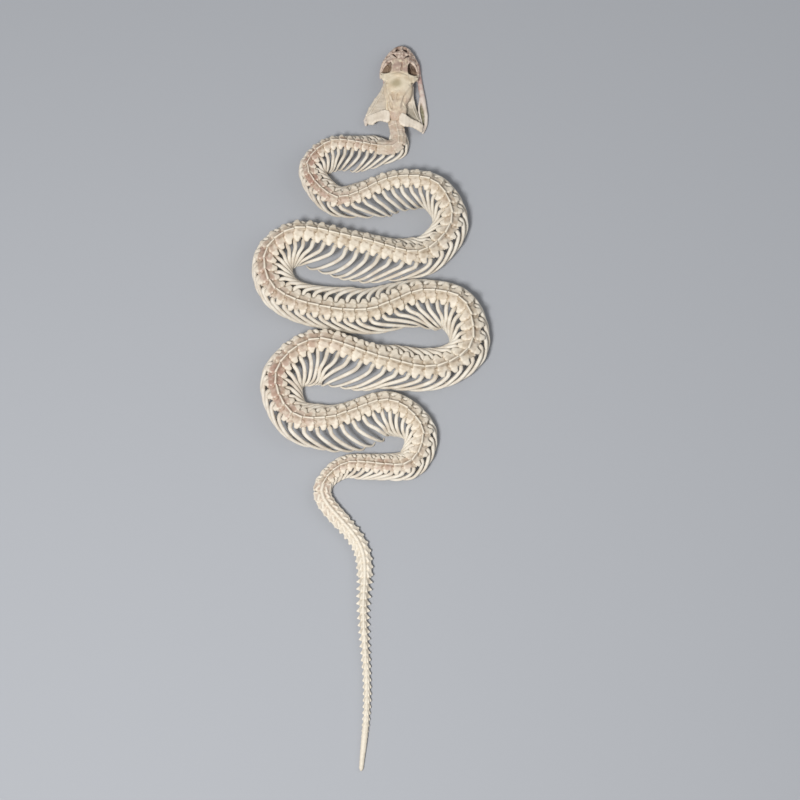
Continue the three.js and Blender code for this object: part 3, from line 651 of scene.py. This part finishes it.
def postorbital(hand):
    """The winglet behind the eye socket, and the socket's rear rim."""
    clay = side_clay(hand, (21, 2, 4), (34, 14, 13.5))
    middle, side, tip = (28.7, 8.6, 9.5, 0.65), (26, 9.2, 9.5, 0.65), (28.6, 11.2, 8, 0.6)
    clay.strip(((29.2, 5.2, 10.9, 0.7), (24.6, 7, 10.7, 0.7)), (middle, side), (tip, tip), blend=1)
    clay.chain((30.6, 4.6, 10.9, 0.5), (29.6, 6.2, 10.5, 0.55), (29.2, 8.2, 9.6, 0.55),
               (29.8, 10.1, 8.4, 0.5), (30.9, 11.2, 6.8, 0.45), (32.2, 11.7, 5.3, 0.4), blend=0.6)
    return clay.soften(2)


def prefrontal(hand):
    """The cheek plate in front of the eye socket, and the socket's front rim, further back on the left."""
    clay = side_clay(hand, (33, 0.5, 4), (46.6, 13, 12))
    back = 0.9 if hand > 0 else 0
    inner, brow, rim = (41, 2.9, 9.7, 0.5), (38.8, 5.4, 9.9, 0.55), (38 - back, 8.4, 8, 0.5)
    front, cheek, foot = (43.4, 5.9, 7.7, 0.5), (42.6, 8.2, 6, 0.5), (36.4 - back, 10.2, 6, 0.55)
    for corners in ((inner, brow, front), (brow, rim, front), (front, rim, cheek), (rim, foot, cheek)):
        clay.add(*corners, blend=0.8)
    clay.chain((37, 4.9, 10.5, 0.5), (38.6, 5.7, 10.1, 0.55), (38.8 - back / 2, 7.2, 9.1, 0.55),
               (38.1 - back, 8.7, 7.8, 0.55), (36.6 - back, 10, 6.5, 0.55), (34.6 - back, 10.8, 5.4, 0.5),
               blend=0.6)
    clay.cut((40.8, 7.2, 8.6, 0.65), blend=0.5)
    clay.cut((43.9, 5.5, 8.4, 0.6), (41, 2.2, 10.5, 0.5), blend=0.3)
    return clay.soften(2)


def snout():
    """Premaxilla in front, nasals behind it, and the nostrils between them and the outer bars."""
    clay = Clay((38.6, -9.5, 2.6), (52.4, 9.5, 11.5), SKULL_CELL)
    clay.chain((49.8, 0, 5.8, 0.8), (48.4, 0, 7.1, 0.55), (46.8, 0, 7.9, 0.55), blend=0.8)
    for _ in clay.both_sides():
        clay.chain((50.2, 0, 4.6, 1), (49.9, 2.2, 4.5, 1), (48.6, 4.3, 4.6, 0.9), blend=0.6)
        clay.strip(((40.8, 0.6, 10.1, 0.55), (40.9, 1.6, 9.9, 0.5)),
                   ((44, 0.6, 9.2, 0.6), (44, 3.5, 8.4, 0.5)),
                   ((46.4, 0.5, 8.1, 0.55), (45.2, 3.3, 7.8, 0.5)), blend=0.9)
        clay.chain((49, 3.7, 5.4, 0.7), (47.4, 4.3, 6.6, 0.55), (45.6, 4.1, 7.5, 0.55),
                   (44.6, 4.4, 7.8, 0.5), blend=0.6)
        clay.strip(((49.1, 3.6, 5, 0.55), (48.3, 5.1, 4.7, 0.55)),
                   ((46.6, 4.4, 7, 0.45), (45.8, 6.7, 5.6, 0.55)),
                   ((44.6, 5.2, 7.4, 0.4), (44, 7.4, 5.8, 0.5)), blend=0.6)
        clay.add((49.6, 0.4, 4, 0.5), (48.6, 4, 4.2, 0.5), (40.6, 3, 4.9, 0.4), blend=0.5)
        clay.add((49.6, 0.4, 4, 0.5), (41, 0.4, 5.2, 0.5), (40.6, 3, 4.9, 0.4), blend=0.5)
        clay.cut((43.9, 5.5, 8.4, 0.6), (41, 2.2, 10.5, 0.5), blend=0.3)
        clay.cut((47.4, 1.9, 8.2, 1), blend=0.4)
    clay.cut((47, 2, 7.4, 0.9), blend=0.4)
    clay.cut((42, 0, 10.6, 0.35), (47.2, 0, 8.6, 0.3), blend=0.3)
    return clay.soften(1)


def maxilla(hand):
    clay = side_clay(hand, (26, 2, 2.4), (51, 14, 9))
    clay.chain((48.4, 4.9, 4.2, 0.8), (45, 7.4, 4.4, 1), (42, 9, 4.5, 1.1), (38.6, 10.5, 4.5, 1.15),
               (35, 11.3, 4.5, 1.05), (31.6, 11.6, 4.5, 0.9), (28.8, 11.4, 4.5, 0.75), blend=1)
    clay.chain((40.4, 9.6, 5.2, 0.9), (39.6, 9.2, 6.2, 0.7), blend=0.8)
    clay.add((40, 9.4, 4.2, 0.5), (33, 10.4, 4.2, 0.5), (36, 8.2, 4, 0.4), blend=0.5)
    return clay.soften(1)


# Rungs of the wing-shaped rear palate: places on its outer edge and on its inner edge
WING = {
    1: [[(24.6, 8.8, 4.6), (25, 6.8, 4.6)], [(21.6, 9.5, 4.4), (21, 6.6, 4.6)],
        [(17.9, 11, 4.2), (17, 6.6, 4.8)], [(14.2, 13.4, 4), (14, 6.4, 4.8)],
        [(8, 16.4, 3.9), (8.4, 6.6, 4.9)], [(3.2, 17.8, 3.9), (4.2, 11, 4.6)]],
    -1: [[(24, 9, 4.6), (24.5, 6.8, 4.6)], [(19.1, 9.1, 4.4), (19, 6.4, 4.6)],
         [(14.4, 10.2, 4.2), (13.6, 5.6, 4.7)], [(8, 12.5, 3.9), (8.8, 5.4, 4.7)],
         [(2.2, 15, 3.9), (3.6, 9.6, 4.4)]],
}


def palate(hand):
    clay = side_clay(hand, (0.5, 1.5, 2.2), (45, 19.5, 6.4))
    rungs = [[(*outer, 0.62), (*inner, 0.42)] for outer, inner in WING[hand]]
    clay.strip(*rungs, blend=0.8)
    clay.chain(*[outer for outer, _ in rungs], blend=0.6)
    inside = [((f + f2) / 2 + 0.6, 0.75 * l + 0.25 * l2, 5, 0.35)
              for (f, l, _), (f2, l2, _) in WING[hand][1:]]
    clay.chain(*inside, blend=0.5)
    clay.chain((24.6, 8, 4.4, 0.7), (31, 10.2, 4.1, 0.65), blend=0.8)
    clay.chain((24, 8, 4.2, 0.75), (34, 6.6, 3.9, 0.7), (43.6, 4.4, 3.5, 0.5), blend=0.8)
    return clay.soften(1)


# Rungs of the bar from the braincase to the jaw joint: (to the side, front edge, rear edge, height, radius)
JAW_BAR = {
    1: [(3.9, 2.4, -1.4, 10.6, 0.7), (4.8, 3.8, -2, 10.6, 0.75), (6.6, 4.4, -1.5, 10.2, 0.7),
        (8.6, 4.2, -0.9, 9.4, 0.65), (10.6, 3.6, -0.9, 8.4, 0.65), (12.4, 3, -1.4, 7.4, 0.7),
        (13.8, 2.6, -2.7, 6.4, 0.8), (15.4, 2.3, -2.3, 5.5, 0.85), (16.8, 1.8, -1.1, 4.8, 0.9)],
    -1: [(3.3, 1.4, -1.4, 10.6, 0.7), (4.3, 3, -2.8, 10.5, 0.75), (6, 2.4, -3.5, 10.1, 0.75),
         (8, 1.4, -3.2, 9.2, 0.7), (10.4, 0.6, -2.8, 7.9, 0.7), (12.8, 0.2, -3, 6.7, 0.75),
         (14.8, -0.4, -3.5, 5.7, 0.85), (16.6, -1.2, -4.3, 4.7, 0.95)],
}


def quadrate(hand):
    clay = side_clay(hand, (-6.4, 2.4, 2.4), (8, 20, 12.8))
    rungs = [((front, left, height, radius), (rear, left, height - 0.4, radius))
             for left, front, rear, height, radius in JAW_BAR[hand]]
    clay.strip(*rungs, blend=0.9)
    for edge in zip(*rungs):
        clay.chain(*edge, blend=0.5)
    clay.cut((1.2, 9.6, 11.6, 1.4), (0.4, 13.4, 9.8, 1.3), blend=1.4)
    return clay.soften(2)


STRAP = {
    1: [(14, 6.3, 9.3, 0.5), (9, 5.9, 9.7, 0.8), (4, 5.2, 9.6, 1), (0.4, 4.4, 9.2, 0.9)],
    -1: [(11.4, 3.4, 11, 0.45), (9.4, 4.6, 10.3, 0.55), (7.4, 5.1, 9.7, 0.65), (4.2, 5, 9.4, 0.85),
         (0.4, 4.4, 9.2, 0.9)],
}


def supratemporal(hand):
    """The slender strap along the braincase that the jaw bar hangs from."""
    clay = side_clay(hand, (-5, 1.5, 6.8), (16.4, 10.5, 13))
    clay.chain(*STRAP[hand], blend=0.8)
    return clay.soften(1)


MANDIBLE_BAR = {
    1: [(-2.2, 18, 1.5, 0.85), (0.6, 18.7, 1.6, 1.05), (5, 17.3, 1.6, 1.1), (10, 14.6, 1.5, 1.1),
        (14, 12.2, 1.4, 1.1), (19, 9.4, 1.4, 1.15), (24, 8.3, 1.3, 1.15), (31, 9.3, 1.3, 1.15),
        (41, 9.2, 1.3, 1.15), (48, 5, 1.2, 1), (50, 1.7, 1.2, 0.8)],
    -1: [(-4.3, 17.7, 1.4, 0.8), (-1.6, 18.6, 1.6, 1), (1.3, 19.2, 1.7, 1.05), (6.7, 19, 2, 1),
         (12, 17.6, 2, 1.2), (17, 16.1, 1.8, 1.65), (23.6, 14.3, 1.6, 1.65), (30, 12.9, 1.4, 1.45),
         (40, 10.9, 1.3, 1.25), (48, 6, 1.2, 1.1), (50.2, 2.4, 1.2, 0.8)],
}
MANDIBLE_FLANGE = {
    1: [(-0.6, 17.2, 2.3, 0.9), (4, 15.4, 2.5, 0.55), (9, 13, 2.5, 0.55), (14, 10.6, 2.1, 0.7),
        (19, 9, 1.6, 0.9)],
    -1: [(-1.4, 17.2, 2.4, 0.9), (3, 15.9, 2.9, 0.55), (8.5, 14.3, 3.2, 0.5), (12.5, 13.9, 3, 0.55),
         (18, 14.6, 2.2, 0.95)],
}


def mandible(hand):
    bar, flange = MANDIBLE_BAR[hand], MANDIBLE_FLANGE[hand]
    clay = side_clay(hand, (-6.6, 0.4, -0.2), (53, 21.4, 5))
    clay.chain(*bar, blend=1)
    clay.chain(*flange, blend=0.8)
    low_flange = [(forward, left, 1, 0.65) for forward, left, _, _ in flange[1:]]
    clay.strip(*zip([(forward, left, 1, 0.75) for forward, left, _, _ in bar[2:6]], low_flange), blend=0.5)
    clay.strip(*zip(flange[1:], low_flange), blend=0.3)
    clay.add((bar[0][0] + 1.6, 17.6, 2.2, 1.1), blend=0.8)
    return clay.soften(1)


def orbit_shade_sheet(hand):
    """A thin dark brown sheet across the floor of the eye socket: painted shade for the dark seen down into
    it.
    """
    clay = side_clay(hand, (28, 2.5, 3.6), (40, 12.5, 10))
    clay.strip(((38.4, 5, 7.4, 0.3), (38.2, 8.2, 6.8, 0.3)), ((36.4, 4.4, 5.8, 0.3), (36.4, 9.8, 5.4, 0.3)),
               ((32.2, 4.4, 5.4, 0.3), (31.8, 10.4, 5.4, 0.3)),
               ((29.6, 5.2, 7.6, 0.3), (29.2, 9.4, 7.2, 0.3)), blend=0.5)
    clay.chain((36.8, 6.4, 6.2, 0.35), (34.2, 7.6, 5.7, 0.35), (32, 7, 5.8, 0.35), blend=0.6)
    if hand > 0:
        clay.add((36.2, 7.9, 6, 0.8), blend=0.5)
    return clay.soften(1)


# ---- Materials ----
def shade(red, green, blue):
    """A screen colour from 0 to 255 as the linear one that shaders take."""
    return tuple(c / 12.92 if c <= 0.04045 else ((c + 0.055) / 1.055) ** 2.4
                 for c in (red / 255, green / 255, blue / 255)) + (1.0,)


class Nodes:
    """Short names for making and joining shader nodes."""

    def __init__(self, name):
        self.material = bpy.data.materials.new(name)
        self.material.use_nodes = True
        self.tree = self.material.node_tree
        self.shader = self.tree.nodes["Principled BSDF"]
        self.place = self.make("ShaderNodeTexCoord").outputs["Object"]

    def feed(self, node, socket, source):
        """Joins another node's output to a socket, or sets the socket to a value."""
        if isinstance(source, bpy.types.NodeSocket):
            self.tree.links.new(source, node.inputs[socket])
        else:
            node.inputs[socket].default_value = source

    def make(self, kind, *feeds, **settings):
        node = self.tree.nodes.new(kind)
        for key, value in settings.items():
            setattr(node, key, value)
        for socket, source in feeds:
            self.feed(node, socket, source)
        return node

    def mark(self, name):
        return self.make("ShaderNodeAttribute", attribute_name=name).outputs["Fac"]

    def noise(self, scale, detail=3, roughness=0.55):
        return self.make("ShaderNodeTexNoise", ("Vector", self.place), ("Scale", scale), ("Detail", detail),
                         ("Roughness", roughness)).outputs["Fac"]

    def spread(self, source, low, high, to_low=0.0, to_high=1.0):
        node = self.make("ShaderNodeMapRange", ("Value", source), ("From Min", low), ("From Max", high),
                         ("To Min", to_low), ("To Max", to_high), interpolation_type="SMOOTHSTEP")
        return node.outputs["Result"]

    def product(self, one, other):
        return self.make("ShaderNodeMath", (0, one), (1, other), operation="MULTIPLY").outputs["Value"]

    def mix(self, share, first, second):
        """A Mix node holds sockets for every kind of value, and these are the ones for colours."""
        return self.make("ShaderNodeMix", (0, share), (6, first), (7, second), data_type="RGBA").outputs[2]

    def bump(self, height, strength, depth, *feeds):
        """The normal of a surface with bumps of a depth in mm."""
        feeds = ("Height", height), ("Strength", strength), ("Distance", depth * MM), *feeds
        return self.make("ShaderNodeBump", *feeds).outputs["Normal"]


def bone(name, pale, tan, stain, crevice_shade=(128, 104, 80), green=(166, 153, 120), patch_scale=170):
    """Dry bone: mottled from pale to tan, with painted shade in its hollows and a painted highlight on its
    edges, and stained in places.

    The mark "stain" is 1 where the bone takes the stain's colour and -1 where it takes the green one, which
    on the snout and the right wing is painted shade.
    """
    nodes = Nodes(name)
    patches, grain = nodes.noise(patch_scale, 4), nodes.noise(900, 4, 0.65)
    colour = nodes.mix(nodes.spread(patches, 0.38, 0.68), shade(*pale), shade(*tan))
    colour = nodes.mix(nodes.product(nodes.spread(grain, 0.5, 0.75), 0.35), colour, shade(*tan))
    blots = nodes.spread(nodes.noise(330), 0.3, 0.6, 0.35)
    colour = nodes.mix(nodes.spread(nodes.product(nodes.mark("stain"), blots), 0, 1), colour, shade(*stain))
    colour = nodes.mix(nodes.spread(nodes.mark("stain"), 0, -1), colour, shade(*green))
    # The hollow mark paints shade and highlight: it darkens hollows towards the crevice shade colour and
    # paints a highlight on edges in a paler colour
    hollow = nodes.mark("hollow")
    colour = nodes.mix(nodes.spread(hollow, 0.1, 1.0, 0.0, 0.75), colour, shade(*crevice_shade))
    edge_highlight = shade(*(min(255, c + 14) for c in pale))
    colour = nodes.mix(nodes.spread(hollow, -0.1, -0.9, 0.0, 0.8), colour, edge_highlight)
    nodes.feed(nodes.shader, "Base Color", colour)
    nodes.feed(nodes.shader, "Roughness", nodes.spread(grain, 0.3, 0.7, 0.42, 0.62))
    pits = nodes.make("ShaderNodeTexVoronoi", ("Scale", 1500), ("Vector", nodes.place)).outputs["Distance"]
    pitted = nodes.bump(nodes.spread(pits, 0.0, 0.35), 0.25, 0.06)
    bumps = nodes.bump(nodes.noise(520, 5, 0.6), 0.45, 0.12, ("Normal", pitted))
    nodes.feed(nodes.shader, "Normal", bumps)
    nodes.feed(nodes.shader, "Specular IOR Level", 0.4)
    return nodes.material


# ---- Stains. Those of the skull's bones are functions of places on the head ----
# [distance along the spine, how stained the bone is there]
STAINS = [[0, 0.4], [20, 0.45], [60, 0.45], [86, 0.95], [110, 0.45], [150, 0.15], [199, 0.3], [250, 0.1],
          [300, 0.15], [330, 0.7], [350, 0.5], [400, 0.12], [501, 0.25], [560, 0.1], [615, 0.5],
          [650, 0.8], [690, 0.3], [750, 0.15], [800, 0.5], [835, 0.55], [850, 0.35], [880, 0.15],
          [920, 0.1], [1019, 0.05]]
RIB_STAIN = 0.3                     # share of the vertebra's stain that its ribs take
CONE_HOLLOW, CONE_STAIN = -0.35, 0.1                   # marks of the tail's smooth tip, all over: the first, below 0, gives it some of the painted edge highlight
SLIGHT_STAIN = 0.1                  # of the skull's plain bones
# [distance forward of the occiput, how pink the braincase is there]
PINKNESS = [[-3, 0.7], [3.4, 0.65], [5, 0.5], [9, 0.45], [15, 0.4], [20, 0.2], [29, 0.1], [32, 0.9],
            [41, 1]]
OVAL = [22.6, 1.2, 3.3, 4.4]        # forward, left, and half its length and width
PALE_SPOT = [38.7, 0, 1]            # forward, left, radius
# Where painted shade darkens the bone between the snout's bars: in front of, behind, this far to the sides,
# and below
NOSTRILS = [44.5, 48.8, 3.6, 6]


def by_front(points):
    """Pinkish at the occiput and from the frontals on, painted shade on the right side of the dome, a green
    oval on the dome, and one pale spot.
    """
    forward, left = points[:, 0], points[:, 1]
    pink = value_at(PINKNESS, forward)
    # Painted shade where the braincase's right side drops steeply away
    shaded = np.interp(left, [-6, -4.6], [0.7, 0]) * np.interp(forward, [7, 10, 14, 16], [0, 1, 1, 0])
    oval = np.hypot((forward - OVAL[0]) / OVAL[2], (left - OVAL[1]) / OVAL[3])
    spot = np.hypot(forward - PALE_SPOT[0], left - PALE_SPOT[1]) / PALE_SPOT[2]
    marked = np.where(oval < 1.4, np.interp(oval, [0.4, 1.4], [-0.7, 0.1]), np.maximum(pink, shaded))
    return marked * np.interp(spot, [0.6, 1.4], [0, 1])


def painted_shade_nostrils(points):
    """Painted shade on the floor of the two nostrils."""
    forward, left, height = points.T
    rear, front, side, top = NOSTRILS
    inside = (height < top) & (forward > rear) & (forward < front) & (abs(left) < side)
    return np.where(inside, -0.9, SLIGHT_STAIN)


def greyer(points):
    """Painted shade greys the right wing towards its rear; the left one is a little greyer all over."""
    return np.where(points[:, 1] < 0, np.interp(points[:, 0], [8, 15], [-0.75, -0.05]), -0.35)


def by_jaw(points):
    """Pinker towards the chin, and greenish on the floor of the groove behind."""
    forward, left, height = points.T
    bar = np.array(MANDIBLE_BAR[1 if left[0] > 0 else -1])
    inward = np.interp(forward, bar[:, 0], bar[:, 1]) - abs(left)
    groove = (np.interp(forward, [13, 16], [1, 0]) * np.interp(height, [1.7, 2.3], [1, 0])
              * np.interp(inward, [0.2, 0.9], [0, 1]))
    return np.interp(forward, [12, 20, 34], [0.05, 0.5, 0.85]) * (1 - groove) - 0.9 * groove


# Painted shade: the right socket's sheet takes the darker stain colour
def shaded_right_socket(points):
    return np.where(points[:, 1] < 0, 0.7, 0.0)


# ---- Putting the skeleton together ----
def make_trunk(arch_bone, rib_bone, list_of_stations):
    shapes = {closed: trunk_vertebra(closed) for closed in (True, False)}
    start = -1
    for name, end in TRUNK_LENGTHS:
        arches, ribs = Heap(), {1: Heap(), -1: Heap()}
        for station in (s for s in list_of_stations if start < s <= end):
            at = station + ARCH_LEAD * value_at(PITCH, station)
            turn, tip = rng.normal(0, TURN_SPREAD), rng.normal(0, TIP_SPREAD)
            stain = value_at(STAINS, at) * rng.uniform(*STAIN_SPREAD)
            shape, triangles, hollow = shapes[station < NECK_END]
            arches.add(set_trunk_vertebra(shape, at, turn, tip), triangles, hollow, stain)
            if station < list_of_stations[FIRST_RIBBED]:
                continue
            for hand in (1, -1):
                stretch, thickness = rng.normal(1, RIB_LENGTH_SPREAD), rng.normal(1, RIB_THICKNESS_SPREAD)
                ribs[hand].add(*rib(at, hand, stretch, thickness), 0.0, stain * RIB_STAIN)
        left, right = f"{name}_left", f"{name}_right"
        arches.piece(f"{name}_vertebrae", arch_bone, "trunk_bone", left, right)
        ribs[1].piece(f"{name}_ribs_left", rib_bone, "trunk_bone", left)
        ribs[-1].piece(f"{name}_ribs_right", rib_bone, "trunk_bone", right)
        start = end


def tip_cone():
    """The last tail vertebrae, grown into one smooth cone with faint rings."""
    rings, sides = 60, 16
    at = np.linspace(TIP_CONE[0][0], TAIL_TIP, rings)
    ripple = 1 + RING_DEPTH * np.cos((at - TIP_CONE[-1][0]) * 2 * math.pi / RING_PITCH)
    size = np.sqrt(np.clip((TAIL_TIP - at) / TIP_ROUNDING, 0.02, 1)) * value_at(TIP_CONE, at) * ripple
    middle = value_at(CREST_HEIGHT, at) / 2
    angle = np.arange(sides) * 2 * math.pi / sides
    left = (value_at(TAIL_HALF_WIDTH, at) * size)[:, None] * np.cos(angle)
    height = middle[:, None] + (middle * size)[:, None] * np.sin(angle)
    height = np.maximum(height.ravel(), LOWEST)
    points = on_body(np.repeat(at, sides), left.ravel(), height, TIP_TANGENT_REACH)
    fan = np.arange(1, sides - 1)
    first = np.column_stack([np.zeros_like(fan), fan + 1, fan])
    last = (rings - 1) * sides + np.column_stack([np.zeros_like(fan), fan, fan + 1])
    return points, np.vstack([tube_walls(rings, sides), first, last])


def make_tail(tail_bone, list_of_stations):
    shapes = [(end, tail_vertebra(shoulder, knob, gap)) for end, shoulder, knob, gap in TAIL_SHAPES]
    start = RIBS_END
    for name, end in TAIL_LENGTHS:
        heap = Heap()
        for at in (s for s in list_of_stations if start < s <= min(end, TIP_CONE[-1][0])):
            lead = at + ARCH_LEAD * value_at(PITCH, at)
            shape, triangles, hollow = next(made for shape_end, made in shapes if at <= shape_end)
            heap.add(set_tail_vertebra(shape, lead), triangles, hollow, value_at(STAINS, at))
        if end == TAIL_TIP:
            heap.add(*tip_cone(), CONE_HOLLOW, CONE_STAIN)
        heap.piece(f"{name}_vertebrae", tail_bone, "tail_bone", name)
        start = end


def skull_piece(name, clay, faces, material, slot, node, stain=SLIGHT_STAIN):
    """stain is a number, or a function of the places on the head, forward, left and up."""
    points, triangles = clay.mesh(faces)
    points[:, 2] = np.maximum(points[:, 2], LOWEST)
    hollow = hollows(points, triangles, *SKULL_HOLLOWS)
    heap = Heap()
    heap.add(on_head(points), triangles, hollow, stain(points) if callable(stain) else stain)
    heap.piece(name, material, slot, node)


def make_skull(skull_bone, snout_bone, jaw_bone, pale_bone, shade_sheet):
    skull_piece("braincase", braincase(), 60000, skull_bone, "skull_bone", "skull_cranium", by_front)
    skull_piece("premaxilla_and_nasals", snout(), 26000, snout_bone, "snout_bone", "skull_snout",
                painted_shade_nostrils)
    for side, hand in (("left", 1), ("right", -1)):
        for part, make, *looks in (
            ("postorbital", postorbital, 8000, skull_bone, "skull_bone", "skull_cranium"),
            ("prefrontal", prefrontal, 10000, snout_bone, "snout_bone", "skull_cranium"),
            ("supratemporal", supratemporal, 9000, skull_bone, "skull_bone", "skull_cranium"),
            ("maxilla", maxilla, 12000, snout_bone, "snout_bone", f"maxilla_{side}"),
            ("pterygoid", palate, 16000, pale_bone, "skull_bone", f"palate_{side}", greyer),
            ("quadrate", quadrate, 12000, pale_bone, "skull_bone", f"quadrate_{side}"),
            ("mandible", mandible, 22000, jaw_bone, "jaw_bone", f"mandible_{side}", by_jaw),
            # a dark sheet in each eye socket, as painted shade
            ("orbit_shade_sheet", orbit_shade_sheet, 4000, shade_sheet, "snout_bone", f"maxilla_{side}", shaded_right_socket),
        ):
            skull_piece(f"{part}_bone_{side}", make(hand), *looks)


PINK_STAIN = (178, 140, 124)
places = stations()
make_skull(bone("cream_bone", (232, 218, 192), (212, 192, 162), (182, 156, 141)),
           # The mauve bone's green colour, dark brown here, is the painted shade on the nostril floors
           bone("mauve_bone", (226, 206, 188), (146, 118, 102), (142, 112, 100), (84, 64, 54),
                green=(92, 70, 60), patch_scale=400),
           bone("jaw_bone", (226, 215, 203), (208, 193, 178), (190, 150, 142), green=(124, 120, 92)),
           # The pale bone's green colour also paints shade on the right wing
           bone("pale_bone", (235, 223, 205), (217, 203, 184), (190, 170, 152), green=(160, 151, 134)),
           # the colours of the sheets of painted shade in the eye sockets
           bone("painted_shade_sheet", (146, 122, 100), (108, 86, 68), (70, 50, 38), (50, 38, 30)))
make_trunk(bone("arch_bone", (226, 215, 196), (200, 184, 160), PINK_STAIN),
           bone("rib_bone", (234, 226, 211), (216, 204, 186), PINK_STAIN), places)
make_tail(bone("tail_bone", (226, 216, 198), (202, 190, 170), PINK_STAIN), places)


# ---- Floor, light and camera ----
FLOOR_SIZE = 6
FLOOR_COLOUR = (170, 172, 176)
LOOK_AT = (-FOOTPRINT_MIDDLE[0] * MM, -FOOTPRINT_MIDDLE[1] * MM, 8 * MM)
CAMERA_DISTANCE = 1.5
CAMERA_ELEVATION = math.radians(74)
FRAME_WIDTH_AT_TARGET = 0.48        # what the picture's width takes in, at the looked-at point
SENSOR = 36
SKY_COLOUR, SKY_STRENGTH = (0.92, 0.95, 1, 1), 0.3


def make_floor():
    mesh = bpy.data.meshes.new("floor")
    half = FLOOR_SIZE / 2
    corners = [(-half, -half, 0), (half, -half, 0), (half, half, 0), (-half, half, 0)]
    mesh.from_pydata(corners, [], [(0, 1, 2, 3)])
    nodes = Nodes("plain_floor")
    looks = ("Base Color", shade(*FLOOR_COLOUR)), ("Roughness", 0.9), ("Specular IOR Level", 0.1)
    for socket, value in looks:
        nodes.feed(nodes.shader, socket, value)
    mesh.materials.append(nodes.material)
    floor = in_scene("floor", mesh)


def make_light(name, place, power, size):
    """A square lamp that faces the middle of the skeleton. power is in watts."""
    light = bpy.data.lights.new(name, "AREA")
    light.energy, light.size = power, size
    lamp = in_scene(name, light)
    lamp.location = place
    x, y, z = place
    lamp.rotation_euler = (math.atan2(math.hypot(x, y), z), 0, math.atan2(y, x) + math.pi / 2)


def make_camera():
    lens = bpy.data.cameras.new("camera")
    lens.sensor_width = SENSOR
    lens.lens = SENSOR * CAMERA_DISTANCE / FRAME_WIDTH_AT_TARGET
    lens.clip_end = 20
    camera = in_scene("camera", lens)
    camera.location = (LOOK_AT[0], LOOK_AT[1] - CAMERA_DISTANCE * math.cos(CAMERA_ELEVATION),
                       LOOK_AT[2] + CAMERA_DISTANCE * math.sin(CAMERA_ELEVATION))
    camera.rotation_euler = (math.pi / 2 - CAMERA_ELEVATION, 0, 0)
    bpy.context.scene.camera = camera


def make_world():
    world = bpy.data.worlds.new("studio")
    world.use_nodes = True
    sky = world.node_tree.nodes["Background"]
    sky.inputs["Color"].default_value = SKY_COLOUR
    sky.inputs["Strength"].default_value = SKY_STRENGTH
    bpy.context.scene.world = world


make_floor()
make_light("key", (-0.38, -0.52, 1.25), power=17, size=0.3)
make_light("fill", (1.2, 0.2, 1.0), power=3, size=0.9)
bpy.context.scene.view_settings.view_transform = "Standard"
make_world()
make_camera()
